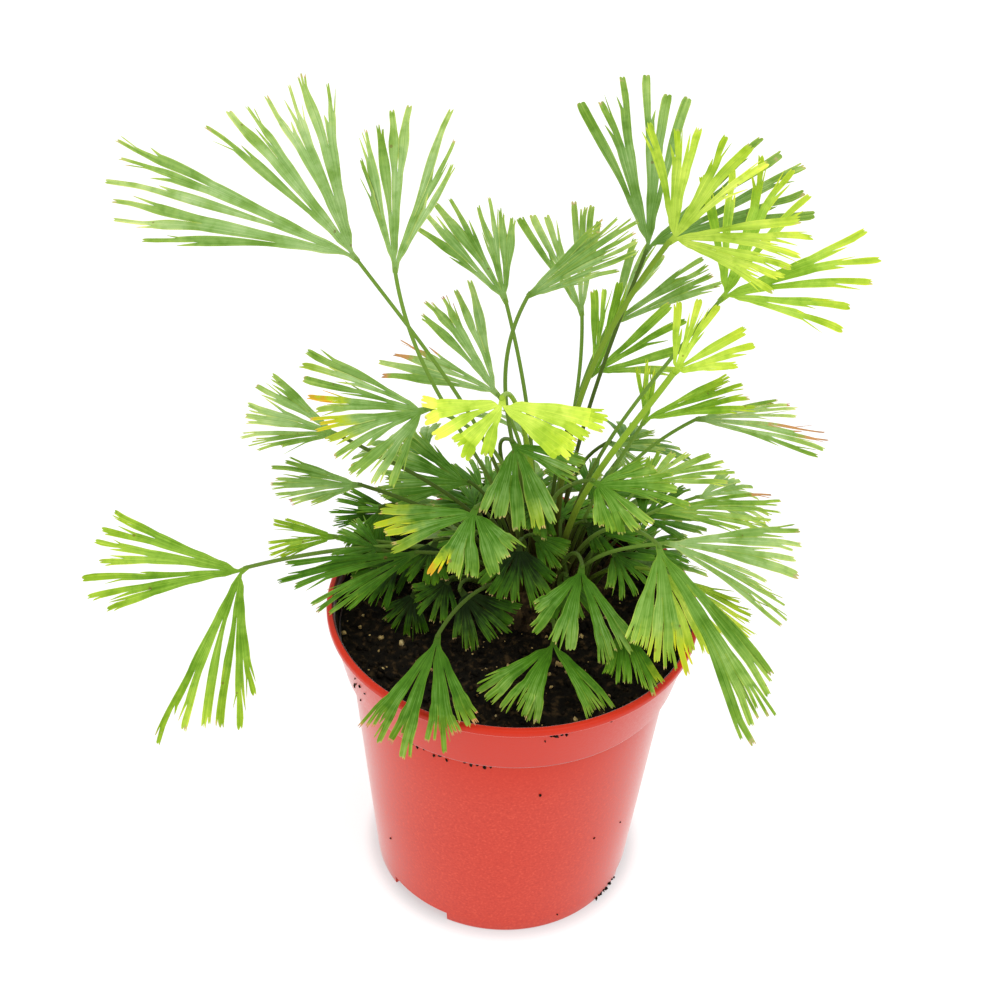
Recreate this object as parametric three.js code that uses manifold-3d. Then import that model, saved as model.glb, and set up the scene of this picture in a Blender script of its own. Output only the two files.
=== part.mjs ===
// A small potted fern with fan-shaped fronds that fork again and again, in a plastic nursery pot.
// Sizes are millimetres and angles are degrees, with +Z up. The origin is the middle of the pot's
// underside, and the front of the plant looks along -Y.
import * as THREE from 'three';
import { mergeVertices } from 'three/addons/utils/BufferGeometryUtils.js';
import Module from 'manifold-3d';

const wasm = await Module();
wasm.setup();

// The pot
const POT_HEIGHT = 110;
const RIM_RADIUS = 60;
const BASE_RADIUS = 44.6;
const COLLAR_FOOT = 88;
const COLLAR_STEP = 1.6;
const WALL_TOP_RADIUS = 52.6;
const COLLAR_FOOT_RADIUS = 55;
const COLLAR_TOP_RADIUS = 58.8;
const LIP_HEIGHT = 3;
const LIP_WIDTH = 2.4;
const LIP_ROUNDING = 0.8;
const POT_WALL = 1.2;
const POT_SIDES = 36;

// The channels across the pot's underside, each with a drain hole in its roof
const CHANNEL_AZIMUTHS = [111, 231, 351];
const CHANNEL_WIDTH = 24;
const CHANNEL_HEIGHT = 4;
const CHANNEL_INNER = 27;
const DRAIN_RADIUS = 4;
const DRAIN_DISTANCE = 36;
const DRAIN_SIDES = 12;

// The soil
const SOIL_EDGE_HEIGHT = 100.5;
const SOIL_DOME = 2.5;
const SOIL_LUMP = 0.7;
const SOIL_RINGS = 5;
const SOIL_SIDES = 32;
const CLEARANCE = 0.3;

// The crown: the short knobbly rootstock that all the fronds grow from
const CROWN_X = 9;
const CROWN_Y = 16;
const CROWN_RADIUS = 23.5;
const CROWN_TOP = 108;
const CROWN_UNDERSIDE = 96;
const CROWN_SIDES = 18;
const ROOT_SPREAD = 16;
const ROOT_BALANCE = 0.55;
const ROOT_GAP = 3.2;
const ROOT_FLOOR = 99;
const ROOT_ROUNDS = 80;

// The crown's outline as shares of its radius and of its rise, and the bulges around it
const CROWN_OUTLINE = [[0.8, 0], [1, 0.35], [0.92, 0.7], [0.65, 0.93], [0.3, 1]];
const CROWN_BULGES = [{ count: 3, depth: 0.07, turn: 0.6 }, { count: 7, depth: 0.05, turn: 0 }];

// The fronds
const BLADE_THICKNESS = 0.6;
const STIPE_RADIUS = 0.75;
const STIPE_SIDES = 4;
const STIPE_STEP = 20;
const STIPE_LEAST_STEPS = 3;
const STIPE_SINK = 1.5;
const STIPE_RISE = 0.4;
const STIPE_APPROACH = 0.35;
const SLEEVE_GAP = 0.4;
const FAN_BASE_WIDTH = 1.5;
const FIRST_FORK = 3;
const FIRST_FORK_WIDTH = 2.25;
const ARCH = 0.07;
const EDGE_BOW = 0.05;
const REACH_VARIATION = 0.14;
const ANGLE_VARIATION = 0.3;
const LIFT_VARIATION = 2.4;
const FORK_VARIATION = 0.08;
const SHORT_TOOTH = 0.6;
const TOOTH_PLACES = [0.2, 0.8];
const FIRST_SEED = 101;
const SEED_STEP = 17;

// Open fans fork deeply into narrow strips. Webbed fans stay joined for longer, in wide strips.
// forks and toothStart are shares of a strip's reach. spreading is how much of its arc a fan fills,
// and taper is how much of its width a strip loses on its way to its teeth.
const OPEN = {
  forks: [0.17, 0.36, 0.52],
  spreading: 0.62,
  stripWidth: 2.2,
  taper: 0.4,
  toothStart: 0.9,
  teeth: 1,
};
const WEBBED = {
  forks: [0.36, 0.62, 0.72],
  spreading: 0.96,
  stripWidth: 4.2,
  taper: 0.1,
  toothStart: 0.84,
  teeth: 0,
};

// The colours, and how rough each surface is
const GREEN = 0x5f9a3c;
const LIME = 0xb6e028;
const SHADE = 0x33662f;
const POT_RED = 0xdb5442;
const SOIL_BROWN = 0x1f1712;
const CROWN_BROWN = 0x4a3524;
const POT_ROUGHNESS = 0.35;
const SOIL_ROUGHNESS = 0.95;
const CROWN_ROUGHNESS = 0.85;
const LEAF_ROUGHNESS = 0.55;

// One row for each frond. apex is where the fan starts, on top of its stalk. aim is the azimuth and
// the rise of the fan's middle line, and how far the fan is rolled about it. left and right are the
// two halves of the fan: from and to in degrees off the middle line, the reach of the strips there,
// and how many strips there are. teeth is how many teeth a strip ends in, where it isn't the habit's.
const FRONDS = [
  // Tall fronds at the left and in the middle
  { name: 'frond_01', apex: [-50, 23, 218], aim: [152, 29, 36], left: [-38, -15, 66, 78, 6],
    right: [-1, 38, 58, 56, 7], habit: OPEN, tone: GREEN },
  { name: 'frond_02', apex: [-38, 8, 223], aim: [89, 55, -1], left: [-20, 2, 34, 52, 5],
    right: [16, 26, 48, 36, 3], habit: OPEN, tone: GREEN },
  { name: 'frond_03', apex: [-6, 30, 202], aim: [127, 45, 24], left: [-27, -5, 35, 36, 4],
    right: [6, 27, 34, 28, 4], habit: WEBBED, tone: GREEN },
  { name: 'frond_04', apex: [-7, 21, 174], aim: [150, 28, 29], left: [-34, -14, 35, 37, 4],
    right: [4, 34, 38, 38, 5], habit: OPEN, tone: GREEN },
  { name: 'frond_05', apex: [0, 3, 220], aim: [348, 40, -64], left: [-12, -4, 35, 40, 3],
    right: [0, 12, 42, 32, 4], habit: WEBBED, tone: GREEN },
  { name: 'frond_06', apex: [18, 45, 190], aim: [110, 48, 17], left: [-21, -8, 38, 36, 3],
    right: [7, 21, 35, 33, 4], habit: OPEN, tone: GREEN },
  // Tall fronds at the right
  { name: 'frond_07', apex: [35, 35, 218], aim: [53, 45, -24], left: [-50, -12, 50, 52, 6],
    right: [18, 50, 51, 53, 5], habit: OPEN, tone: SHADE },
  { name: 'frond_08', apex: [38, 5, 237], aim: [29, 25, -32], left: [-62, -4, 36, 37, 6],
    right: [25, 64, 40, 34, 6], habit: OPEN, tone: LIME },
  { name: 'frond_09', apex: [56, 15, 214], aim: [31, 30, -31], left: [-56, -9, 42, 44, 5],
    right: [15, 56, 48, 35, 5], habit: OPEN, tone: GREEN },
  { name: 'frond_10', apex: [42, -5, 200], aim: [36, 33, -28], left: [-38, -11, 23, 26, 3],
    right: [13, 38, 26, 21, 3], habit: OPEN, tone: LIME },
  { name: 'frond_11', apex: [21, 30, 177], aim: [40, 31, -41], left: [-42, -19, 27, 30, 4],
    right: [4, 42, 38, 28, 4], habit: OPEN, tone: SHADE },
  { name: 'frond_12', apex: [27, 58, 178], aim: [38, 33, -33], left: [-25, -6, 30, 31, 3],
    right: [10, 25, 41, 39, 4], habit: OPEN, tone: GREEN },
  { name: 'frond_13', apex: [37, 13, 171], aim: [50, 26, -24], left: [-41, -24, 20, 20, 3],
    right: [22, 42, 34, 36, 4], habit: WEBBED, tone: GREEN },
  { name: 'frond_14', apex: [55, 25, 166], aim: [356, 3, -40], left: [-14, -3, 27, 32, 4],
    right: [4, 16, 41, 38, 4], habit: OPEN, tone: GREEN },
  // The lime frond that arches over to the front
  { name: 'frond_15', apex: [-6, -22, 202], aim: [270, -35, 0], left: [-82, -42, 30, 24, 6],
    right: [12, 82, 20, 22, 6], habit: WEBBED, teeth: 2, tone: LIME },
  // Fronds at the left, from the top down
  { name: 'frond_16', apex: [-27, -10, 189], aim: [199, -12, 39], left: [-46, 10, 26, 33, 6],
    right: [18, 46, 32, 38, 5], habit: WEBBED, teeth: 2, tone: GREEN },
  { name: 'frond_17', apex: [-56, 15, 161], aim: [171, 6, 35], left: [-28, -14, 20, 34, 4],
    right: [-3, 28, 29, 32, 4], habit: WEBBED, tone: SHADE },
  { name: 'frond_18', apex: [-49, 10, 146], aim: [180, -6, 40], left: [-20, 2, 18, 30, 4],
    right: [6, 20, 30, 26, 3], habit: WEBBED, tone: SHADE },
  { name: 'frond_19', apex: [-58, 15, 121], aim: [178, -7, 40], left: [-19, -3, 20, 25, 4],
    right: [12, 20, 23, 19, 3], habit: WEBBED, tone: GREEN },
  { name: 'frond_20', apex: [-30, -5, 132], aim: [194, -22, 34], left: [-18, -3, 28, 38, 4],
    right: [8, 18, 43, 44, 3], habit: WEBBED, tone: GREEN },
  { name: 'frond_21', apex: [-86, 5, 115], aim: [210, -27, 30], left: [-59, -27, 46, 60, 6],
    right: [20, 59, 50, 52, 7], habit: OPEN, tone: GREEN },
  { name: 'frond_22', apex: [-31, -3, 115], aim: [239, -48, 16], left: [-36, -10, 15, 15, 3],
    right: [10, 36, 15, 13, 3], habit: WEBBED, tone: SHADE },
  { name: 'frond_23', apex: [-17, -12, 124], aim: [315, -35, -30], left: [-37, 0, 21, 21, 4],
    right: [18, 37, 20, 17, 3], habit: WEBBED, tone: SHADE },
  // Fronds at the front
  { name: 'frond_24', apex: [-22, -42, 131], aim: [262, -50, 0], left: [-32, -4, 28, 35, 5],
    right: [8, 32, 36, 36, 4], habit: WEBBED, teeth: 2, tone: GREEN },
  { name: 'frond_25', apex: [13, -27, 118], aim: [262, -28, 5], left: [-47, -32, 27, 28, 3],
    right: [4, 47, 27, 28, 5], habit: WEBBED, teeth: 2, tone: GREEN },
  { name: 'frond_26', apex: [20, -20, 142], aim: [263, -48, 5], left: [-41, -20, 31, 31, 4],
    right: [1, 41, 27, 22, 4], habit: WEBBED, teeth: 2, tone: GREEN },
  { name: 'frond_27', apex: [41, -28, 157], aim: [290, -48, -4], left: [-30, -14, 52, 64, 5],
    right: [1, 30, 38, 31, 5], habit: WEBBED, teeth: 2, tone: GREEN },
  { name: 'frond_28', apex: [45, -12, 145], aim: [357, -14, -29], left: [-22, -1, 45, 42, 4],
    right: [8, 22, 36, 42, 5], habit: WEBBED, teeth: 2, tone: GREEN },
  { name: 'frond_29', apex: [21, -10, 166], aim: [339, -23, -28], left: [-52, -19, 18, 30, 5],
    right: [4, 52, 23, 15, 5], habit: WEBBED, teeth: 2, tone: GREEN },
  { name: 'frond_30', apex: [40, 25, 139], aim: [41, 14, -27], left: [-34, 4, 11, 20, 4],
    right: [13, 34, 26, 32, 4], habit: WEBBED, tone: GREEN },
  { name: 'frond_31', apex: [44, 12, 139], aim: [5, -6, -29], left: [-12, -4, 41, 41, 3],
    right: [2, 12, 38, 30, 3], habit: WEBBED, tone: GREEN },
  { name: 'frond_32', apex: [-3, -8, 178], aim: [308, -34, -22], left: [-48, -27, 23, 22, 4],
    right: [0, 48, 27, 24, 5], habit: WEBBED, tone: GREEN },
  { name: 'frond_33', apex: [-12, -25, 166], aim: [245, -33, 13], left: [-64, 7, 17, 25, 6],
    right: [39, 64, 28, 30, 4], habit: WEBBED, teeth: 2, tone: GREEN },
  { name: 'frond_34', apex: [8, 1, 150], aim: [238, -42, 18], left: [-40, -14, 13, 12, 3],
    right: [8, 46, 12, 11, 3], habit: WEBBED, tone: SHADE },
  { name: 'frond_35', apex: [1, -8, 140], aim: [271, -45, -1], left: [-44, -16, 17, 20, 3],
    right: [2, 44, 20, 18, 4], habit: WEBBED, tone: SHADE },
  { name: 'frond_36', apex: [33, -25, 124], aim: [282, -36, -5], left: [-24, -10, 23, 23, 3],
    right: [3, 24, 21, 18, 3], habit: WEBBED, tone: SHADE },
  { name: 'frond_37', apex: [46, -5, 128], aim: [327, -32, -26], left: [-26, -12, 26, 37, 4],
    right: [3, 26, 27, 27, 3], habit: WEBBED, tone: LIME },
  // Fronds in the shade of the others
  { name: 'frond_38', apex: [-15, 26, 137], aim: [175, -4, 48], left: [-18, 4, 28, 30, 4],
    right: [14, 40, 30, 26, 4], habit: WEBBED, tone: SHADE },
  { name: 'frond_39', apex: [-44, 25, 127], aim: [247, -49, 13], left: [-26, -6, 18, 19, 3],
    right: [8, 26, 20, 18, 3], habit: WEBBED, tone: SHADE },
  { name: 'frond_40', apex: [-40, 34, 117], aim: [172, 0, 45], left: [-18, -5, 23, 23, 3],
    right: [6, 20, 21, 18, 3], habit: WEBBED, tone: SHADE },
  { name: 'frond_41', apex: [5, 4, 134], aim: [332, -30, -30], left: [-30, -8, 13, 14, 3],
    right: [8, 30, 14, 13, 3], habit: WEBBED, tone: SHADE },
  { name: 'frond_42', apex: [21, 9, 136], aim: [333, -20, -32], left: [-34, -12, 13, 13, 3],
    right: [12, 34, 14, 12, 3], habit: WEBBED, tone: SHADE },
  { name: 'frond_43', apex: [-25, 7, 128], aim: [239, -40, 18], left: [-37, -12, 15, 16, 3],
    right: [10, 34, 17, 17, 3], habit: WEBBED, tone: SHADE },
  { name: 'frond_44', apex: [29, 38, 147], aim: [345, -16, -37], left: [-36, -18, 17, 19, 3],
    right: [12, 36, 14, 12, 3], habit: WEBBED, tone: SHADE },
  // Fronds that hang over the back of the pot
  { name: 'frond_45', apex: [-30, 50, 130], aim: [125, -22, 8], left: [-38, -8, 30, 36, 4],
    right: [8, 38, 36, 30, 4], habit: WEBBED, tone: GREEN },
  { name: 'frond_46', apex: [2, 58, 134], aim: [95, -22, -5], left: [-38, -8, 32, 38, 4],
    right: [8, 38, 38, 32, 4], habit: WEBBED, tone: GREEN },
  { name: 'frond_47', apex: [36, 54, 132], aim: [62, -22, -8], left: [-38, -8, 30, 36, 4],
    right: [8, 38, 36, 30, 4], habit: WEBBED, tone: GREEN },
  { name: 'frond_48', apex: [60, 38, 126], aim: [28, -24, -15], left: [-34, -8, 28, 34, 4],
    right: [8, 34, 34, 28, 4], habit: WEBBED, tone: GREEN },
  // Low fronds under the others, which hide the soil behind the crown
  { name: 'frond_49', apex: [-14, 34, 118], aim: [120, -2, 0], left: [-66, -12, 26, 28, 4],
    right: [12, 60, 28, 24, 4], habit: WEBBED, tone: SHADE },
  { name: 'frond_50', apex: [10, 38, 122], aim: [88, -3, 0], left: [-70, -14, 24, 28, 4],
    right: [14, 70, 28, 24, 4], habit: WEBBED, tone: SHADE },
  { name: 'frond_51', apex: [32, 34, 119], aim: [55, -3, 0], left: [-60, -12, 24, 28, 4],
    right: [12, 60, 28, 24, 4], habit: WEBBED, tone: SHADE },
  { name: 'frond_52', apex: [36, 13, 117], aim: [5, -3, 0], left: [-54, -12, 23, 27, 3],
    right: [12, 54, 27, 23, 3], habit: WEBBED, tone: SHADE },
  { name: 'frond_53', apex: [-14, 24, 116], aim: [158, -4, 0], left: [-44, -10, 18, 20, 3],
    right: [10, 40, 20, 18, 3], habit: WEBBED, tone: SHADE },
  { name: 'frond_54', apex: [-28, 20, 112], aim: [190, -8, 8], left: [-50, -12, 20, 22, 3],
    right: [12, 50, 22, 20, 3], habit: WEBBED, tone: SHADE },
];

// A stream of numbers from 0 to 1 that is the same on every build.
function seededRandom(seed) {
  let state = seed;
  return () => {
    state = (state * 16807) % 2147483647;
    return state / 2147483647;
  };
}

const vector = (values) => new THREE.Vector3(...values);

// A unit vector from its azimuth and its rise above the horizon.
function direction(azimuth, rise) {
  const around = THREE.MathUtils.degToRad(azimuth);
  const up = THREE.MathUtils.degToRad(rise);
  return new THREE.Vector3(Math.cos(around) * Math.cos(up), Math.sin(around) * Math.cos(up), Math.sin(up));
}

// A closed geometry as a solid that can be joined and cut.
function toSolid(geometry) {
  const bare = geometry.clone();
  bare.deleteAttribute('normal');
  bare.deleteAttribute('uv');
  const merged = mergeVertices(bare, 1e-4);
  return meshSolid(merged.attributes.position.array, merged.index.array);
}

function meshSolid(positions, indices) {
  const vertProperties = new Float32Array(positions);
  const triVerts = new Uint32Array(indices);
  return new wasm.Manifold(new wasm.Mesh({ numProp: 3, vertProperties, triVerts }));
}

// A solid as a geometry for its mesh.
function toGeometry(solid) {
  const { vertProperties, triVerts } = solid.getMesh();
  const geometry = new THREE.BufferGeometry();
  geometry.setAttribute('position', new THREE.BufferAttribute(vertProperties, 3));
  geometry.setIndex(new THREE.BufferAttribute(triVerts, 1));
  geometry.computeVertexNormals();
  return geometry;
}

// A solid of revolution about Z from a profile of [radius, height] points, raised by a relief.
function latheSolid(profile, sides, relief = () => 0) {
  const points = profile.map(([radius, height]) => new THREE.Vector2(radius, height));
  const geometry = new THREE.LatheGeometry(points, sides);
  geometry.rotateX(Math.PI / 2);
  const position = geometry.attributes.position;
  for (let i = 0; i < position.count; i += 1) {
    const x = position.getX(i);
    const y = position.getY(i);
    position.setZ(i, position.getZ(i) + relief(x, y, position.getZ(i)));
  }
  return toSolid(geometry);
}

// A round bar that follows a curve.
function tubeSolid(curve, radius, sides, steps) {
  const section = new THREE.Shape();
  for (let i = 0; i < sides; i += 1) {
    const turn = (2 * Math.PI * i) / sides;
    const corner = [radius * Math.cos(turn), radius * Math.sin(turn)];
    if (i === 0) section.moveTo(...corner);
    else section.lineTo(...corner);
  }
  return toSolid(new THREE.ExtrudeGeometry(section, { steps, extrudePath: curve }));
}

// A block along one channel of the underside, grown sideways and upward by a margin.
function channelBlock(azimuth, margin) {
  const outer = 1.1 * BASE_RADIUS;
  const inner = CHANNEL_INNER - margin;
  const height = 2 * (CHANNEL_HEIGHT + margin);
  const block = new THREE.BoxGeometry(outer - inner, CHANNEL_WIDTH + 2 * margin, height);
  block.translate((outer + inner) / 2, 0, 0);
  block.rotateZ(THREE.MathUtils.degToRad(azimuth));
  return toSolid(block);
}

function drainHole(azimuth) {
  const hole = new THREE.CylinderGeometry(DRAIN_RADIUS, DRAIN_RADIUS, 4 * CHANNEL_HEIGHT, DRAIN_SIDES);
  hole.rotateX(Math.PI / 2);
  hole.translate(DRAIN_DISTANCE, 0, 0);
  hole.rotateZ(THREE.MathUtils.degToRad(azimuth));
  return toSolid(hole);
}

function makePot() {
  const collarBottom = COLLAR_FOOT + COLLAR_STEP;
  const lipFoot = POT_HEIGHT - LIP_HEIGHT;
  const outside = [
    [0, 0], [BASE_RADIUS - LIP_ROUNDING, 0], [BASE_RADIUS, LIP_ROUNDING],
    [WALL_TOP_RADIUS, COLLAR_FOOT], [COLLAR_FOOT_RADIUS, collarBottom], [COLLAR_TOP_RADIUS, lipFoot],
    [RIM_RADIUS, lipFoot + LIP_ROUNDING], [RIM_RADIUS, POT_HEIGHT - LIP_ROUNDING],
    [RIM_RADIUS - LIP_ROUNDING, POT_HEIGHT], [0, POT_HEIGHT],
  ];
  const inside = [
    [0, POT_WALL], [BASE_RADIUS - POT_WALL, POT_WALL],
    [WALL_TOP_RADIUS - POT_WALL, COLLAR_FOOT], [COLLAR_FOOT_RADIUS - POT_WALL, collarBottom],
    [RIM_RADIUS - LIP_WIDTH, lipFoot], [RIM_RADIUS - LIP_WIDTH, POT_HEIGHT + LIP_HEIGHT],
    [0, POT_HEIGHT + LIP_HEIGHT],
  ];
  let hollow = latheSolid(inside, POT_SIDES);
  let body = latheSolid(outside, POT_SIDES);
  for (const azimuth of CHANNEL_AZIMUTHS) {
    hollow = hollow.subtract(channelBlock(azimuth, POT_WALL));
    body = body.subtract(channelBlock(azimuth, 0)).subtract(drainHole(azimuth));
  }
  return body.subtract(hollow);
}

// The pot's inner radius at a height on its collar.
function collarInside(height) {
  const foot = COLLAR_FOOT + COLLAR_STEP;
  const share = (height - foot) / (POT_HEIGHT - LIP_HEIGHT - foot);
  return THREE.MathUtils.lerp(COLLAR_FOOT_RADIUS - POT_WALL, RIM_RADIUS - LIP_WIDTH, share);
}

// The lumps of loose soil: one broad wave and one finer one, on the top surface only.
function soilRelief(x, y, z) {
  if (z < SOIL_EDGE_HEIGHT - SOIL_LUMP) return 0;
  const broad = Math.sin(0.23 * x + 1.1) * Math.sin(0.27 * y + 0.4);
  const fine = Math.sin(0.61 * x - 0.47 * y);
  return SOIL_LUMP * (broad + 0.6 * fine);
}

function makeSoil(crownPocket) {
  const edge = collarInside(SOIL_EDGE_HEIGHT - 2 * SOIL_LUMP) - CLEARANCE;
  const profile = [
    [0, POT_WALL + CLEARANCE], [BASE_RADIUS - POT_WALL - CLEARANCE, POT_WALL + CLEARANCE],
    [WALL_TOP_RADIUS - POT_WALL - CLEARANCE, COLLAR_FOOT],
    [COLLAR_FOOT_RADIUS - POT_WALL - CLEARANCE, COLLAR_FOOT + COLLAR_STEP],
  ];
  for (let ring = SOIL_RINGS; ring >= 0; ring -= 1) {
    const share = ring / SOIL_RINGS;
    profile.push([edge * share, SOIL_EDGE_HEIGHT + SOIL_DOME * (1 - share * share)]);
  }
  let soil = latheSolid(profile, SOIL_SIDES, soilRelief);
  for (const azimuth of CHANNEL_AZIMUTHS) {
    soil = soil.subtract(channelBlock(azimuth, POT_WALL + CLEARANCE));
  }
  return soil.subtract(crownPocket);
}

// The crown is a low knobbly mound. A margin makes the larger form that cuts its pocket in the soil.
function crownForm(margin) {
  const underside = CROWN_UNDERSIDE - margin;
  const rise = CROWN_TOP + margin - underside;
  const sides = CROWN_OUTLINE.map(([out, up]) => [out * CROWN_RADIUS + margin, underside + up * rise]);
  const form = latheSolid([[0, underside], ...sides, [0, underside + rise]], CROWN_SIDES);
  return form.warp((point) => {
    const around = Math.atan2(point[1], point[0]);
    const bulges = CROWN_BULGES.map(({ count, depth, turn }) => depth * Math.sin(count * around + turn));
    const scale = 1 + bulges[0] + bulges[1];
    point[0] = CROWN_X + point[0] * scale;
    point[1] = CROWN_Y + point[1] * scale;
  });
}

// Where each stalk leaves the crown: flat-lying fronds grow from its rim and upright ones from its
// middle, each on its own side, and stalks that would touch are pushed apart.
function rootPlaces(fronds) {
  const roots = fronds.map(({ apex: [x, y, z] }) => {
    const offset = new THREE.Vector2(x - CROWN_X, y - CROWN_Y);
    const slope = offset.length() / (z - CROWN_TOP);
    return offset.setLength((ROOT_SPREAD * slope) / (slope + ROOT_BALANCE));
  });
  for (let round = 0; round < ROOT_ROUNDS; round += 1) {
    for (let i = 0; i < roots.length; i += 1) {
      for (let j = i + 1; j < roots.length; j += 1) {
        const apart = roots[i].clone().sub(roots[j]);
        const push = (ROOT_GAP - apart.length()) / 2;
        if (push > 0) {
          apart.setLength(push);
          roots[i].add(apart);
          roots[j].sub(apart);
        }
      }
    }
  }
  return roots.map(({ x, y }) => new THREE.Vector3(CROWN_X + x, CROWN_Y + y, ROOT_FLOOR));
}

const ROOTS = rootPlaces(FRONDS);

// The stalk's curve leaves the crown upright and reaches the fan half way between its own line
// and the fan's middle line.
function stipeCurve(frond) {
  const root = ROOTS[FRONDS.indexOf(frond)];
  const apex = vector(frond.apex);
  const line = apex.clone().sub(root);
  const length = line.length();
  const approach = line.clone().normalize().add(direction(frond.aim[0], frond.aim[1])).normalize();
  const end = apex.clone().addScaledVector(approach, STIPE_SINK);
  const lower = root.clone().add(new THREE.Vector3(0, 0, STIPE_RISE * length));
  const upper = apex.clone().addScaledVector(approach, -STIPE_APPROACH * length);
  return new THREE.CubicBezierCurve3(root, lower, upper, end);
}

// The frame that a fan is drawn in: its middle line, the way across to its right half, and its face.
function fanFrame(frond) {
  const [azimuth, rise, roll] = frond.aim;
  const middle = direction(azimuth, rise);
  const level = direction(azimuth - 90, 0);
  const across = level.applyAxisAngle(middle, -THREE.MathUtils.degToRad(roll));
  const face = across.clone().cross(middle);
  return { apex: vector(frond.apex), middle, across, face };
}

// The strip ends of one half of a fan, from its left to its right, each with a little variation.
function stripEnds([from, to, nearReach, farReach, count], random) {
  const step = (to - from) / Math.max(1, count - 1);
  const ends = [];
  for (let i = 0; i < count; i += 1) {
    const share = count > 1 ? i / (count - 1) : 0.5;
    const inner = i > 0 && i < count - 1 ? 1 : 0;
    const aside = inner * ANGLE_VARIATION * (random() - 0.5);
    const angle = THREE.MathUtils.degToRad(from + (i + aside) * step);
    const bow = 1 + EDGE_BOW * Math.sin(Math.PI * share);
    const longer = 1 + REACH_VARIATION * (random() - 0.6);
    const reach = (nearReach + (farReach - nearReach) * share) * bow * longer;
    const lift = LIFT_VARIATION * (random() - 0.5);
    ends.push({ x: reach * Math.cos(angle), y: reach * Math.sin(angle), lift });
  }
  return ends;
}

const average = (items, key) => items.reduce((sum, item) => sum + item[key], 0) / items.length;

// A flat sheet of numbered points and triangles, drawn row by row from the fan's apex outward.
class Sheet {
  points = [];
  triangles = [];

  // Adds a row of points across a band and returns their numbers, from left to right.
  addRow(centre, heading, width, shares, lift) {
    const [alongX, alongY] = heading;
    return shares.map((share) => {
      const offset = width * (share - 0.5);
      this.points.push({ x: centre.x - alongY * offset, y: centre.y + alongX * offset, lift });
      return this.points.length - 1;
    });
  }

  // Fills the band between two rows, which may have different numbers of points.
  bridge(near, far) {
    let i = 0;
    let j = 0;
    while (i < near.length - 1 || j < far.length - 1) {
      const nearShare = i < near.length - 1 ? (i + 1) / (near.length - 1) : Infinity;
      const farShare = j < far.length - 1 ? (j + 1) / (far.length - 1) : Infinity;
      if (nearShare <= farShare) {
        this.triangles.push([near[i], near[i + 1], far[j]]);
        i += 1;
      } else {
        this.triangles.push([near[i], far[j + 1], far[j]]);
        j += 1;
      }
    }
  }
}

function headingTo(from, to) {
  const length = Math.hypot(to.x - from.x, to.y - from.y);
  return [(to.x - from.x) / length, (to.y - from.y) / length];
}

function between(from, to, share) {
  return { x: from.x + (to.x - from.x) * share, y: from.y + (to.y - from.y) * share };
}

// Draws the last stretch of one strip, which ends blunt, in a point or in two teeth.
function growStripEnd(sheet, row, centre, target, reached, lift, half, random) {
  const { habit, teeth, stripWidthAt } = half;
  const heading = headingTo(centre, target);
  const width = stripWidthAt(habit.toothStart) * (1 - habit.taper);
  if (teeth === 0) {
    sheet.bridge(row, sheet.addRow(target, heading, width, [0, 1], lift));
    return;
  }
  const neck = between(centre, target, (habit.toothStart - reached) / (1 - reached));
  const neckLift = lift * habit.toothStart ** 2;
  if (teeth === 1) {
    const last = sheet.addRow(neck, heading, width, [0, 1], neckLift);
    sheet.bridge(row, last);
    sheet.bridge(last, sheet.addRow(target, heading, 0, [0.5], lift));
    return;
  }
  const last = sheet.addRow(neck, heading, width, [0, 0.5, 1], neckLift);
  sheet.bridge(row, last);
  const longer = random() < 0.5 ? 0 : 1;
  TOOTH_PLACES.forEach((place, tooth) => {
    const end = between(neck, target, tooth === longer ? 1 : SHORT_TOOTH);
    sheet.bridge(last.slice(tooth, tooth + 2), sheet.addRow(end, heading, width, [place], lift));
  });
}

// Draws a band of strips up to its fork and then its two parts, or a single strip up to its end.
function growBand(sheet, row, centre, reached, ends, depth, half, random) {
  const { habit, stripWidthAt } = half;
  const target = { x: average(ends, 'x'), y: average(ends, 'y') };
  const heading = headingTo(centre, target);
  const lift = average(ends, 'lift');
  if (ends.length === 1) {
    growStripEnd(sheet, row, centre, target, reached, lift, half, random);
    return;
  }
  const fork = habit.forks[depth] * (1 + FORK_VARIATION * (random() - 0.5));
  const share = (fork - reached) / (1 - reached);
  const forkCentre = between(centre, target, share);
  const leftCount = random() < 0.5 ? Math.floor(ends.length / 2) : Math.ceil(ends.length / 2);
  const notch = leftCount / ends.length;
  const width = ends.length * stripWidthAt(fork);
  const forkRow = sheet.addRow(forkCentre, heading, width, [0, notch, 1], lift * fork ** 2);
  sheet.bridge(row, forkRow);
  const parts = [ends.slice(0, leftCount), ends.slice(leftCount)];
  parts.forEach((part, side) => {
    const partRow = forkRow.slice(side, side + 2);
    const [a, b] = partRow.map((number) => sheet.points[number]);
    growBand(sheet, partRow, between(a, b, 0.5), fork, part, depth + 1, half, random);
  });
}

// How wide one strip of a half is at a share of its reach: it grows until its full width.
function stripWidthRule([from, to, nearReach, farReach, count], habit) {
  const spread = THREE.MathUtils.degToRad(to - from) * ((nearReach + farReach) / 2);
  return (share) => Math.min(habit.stripWidth, (FAN_BASE_WIDTH + habit.spreading * share * spread) / count);
}

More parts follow.
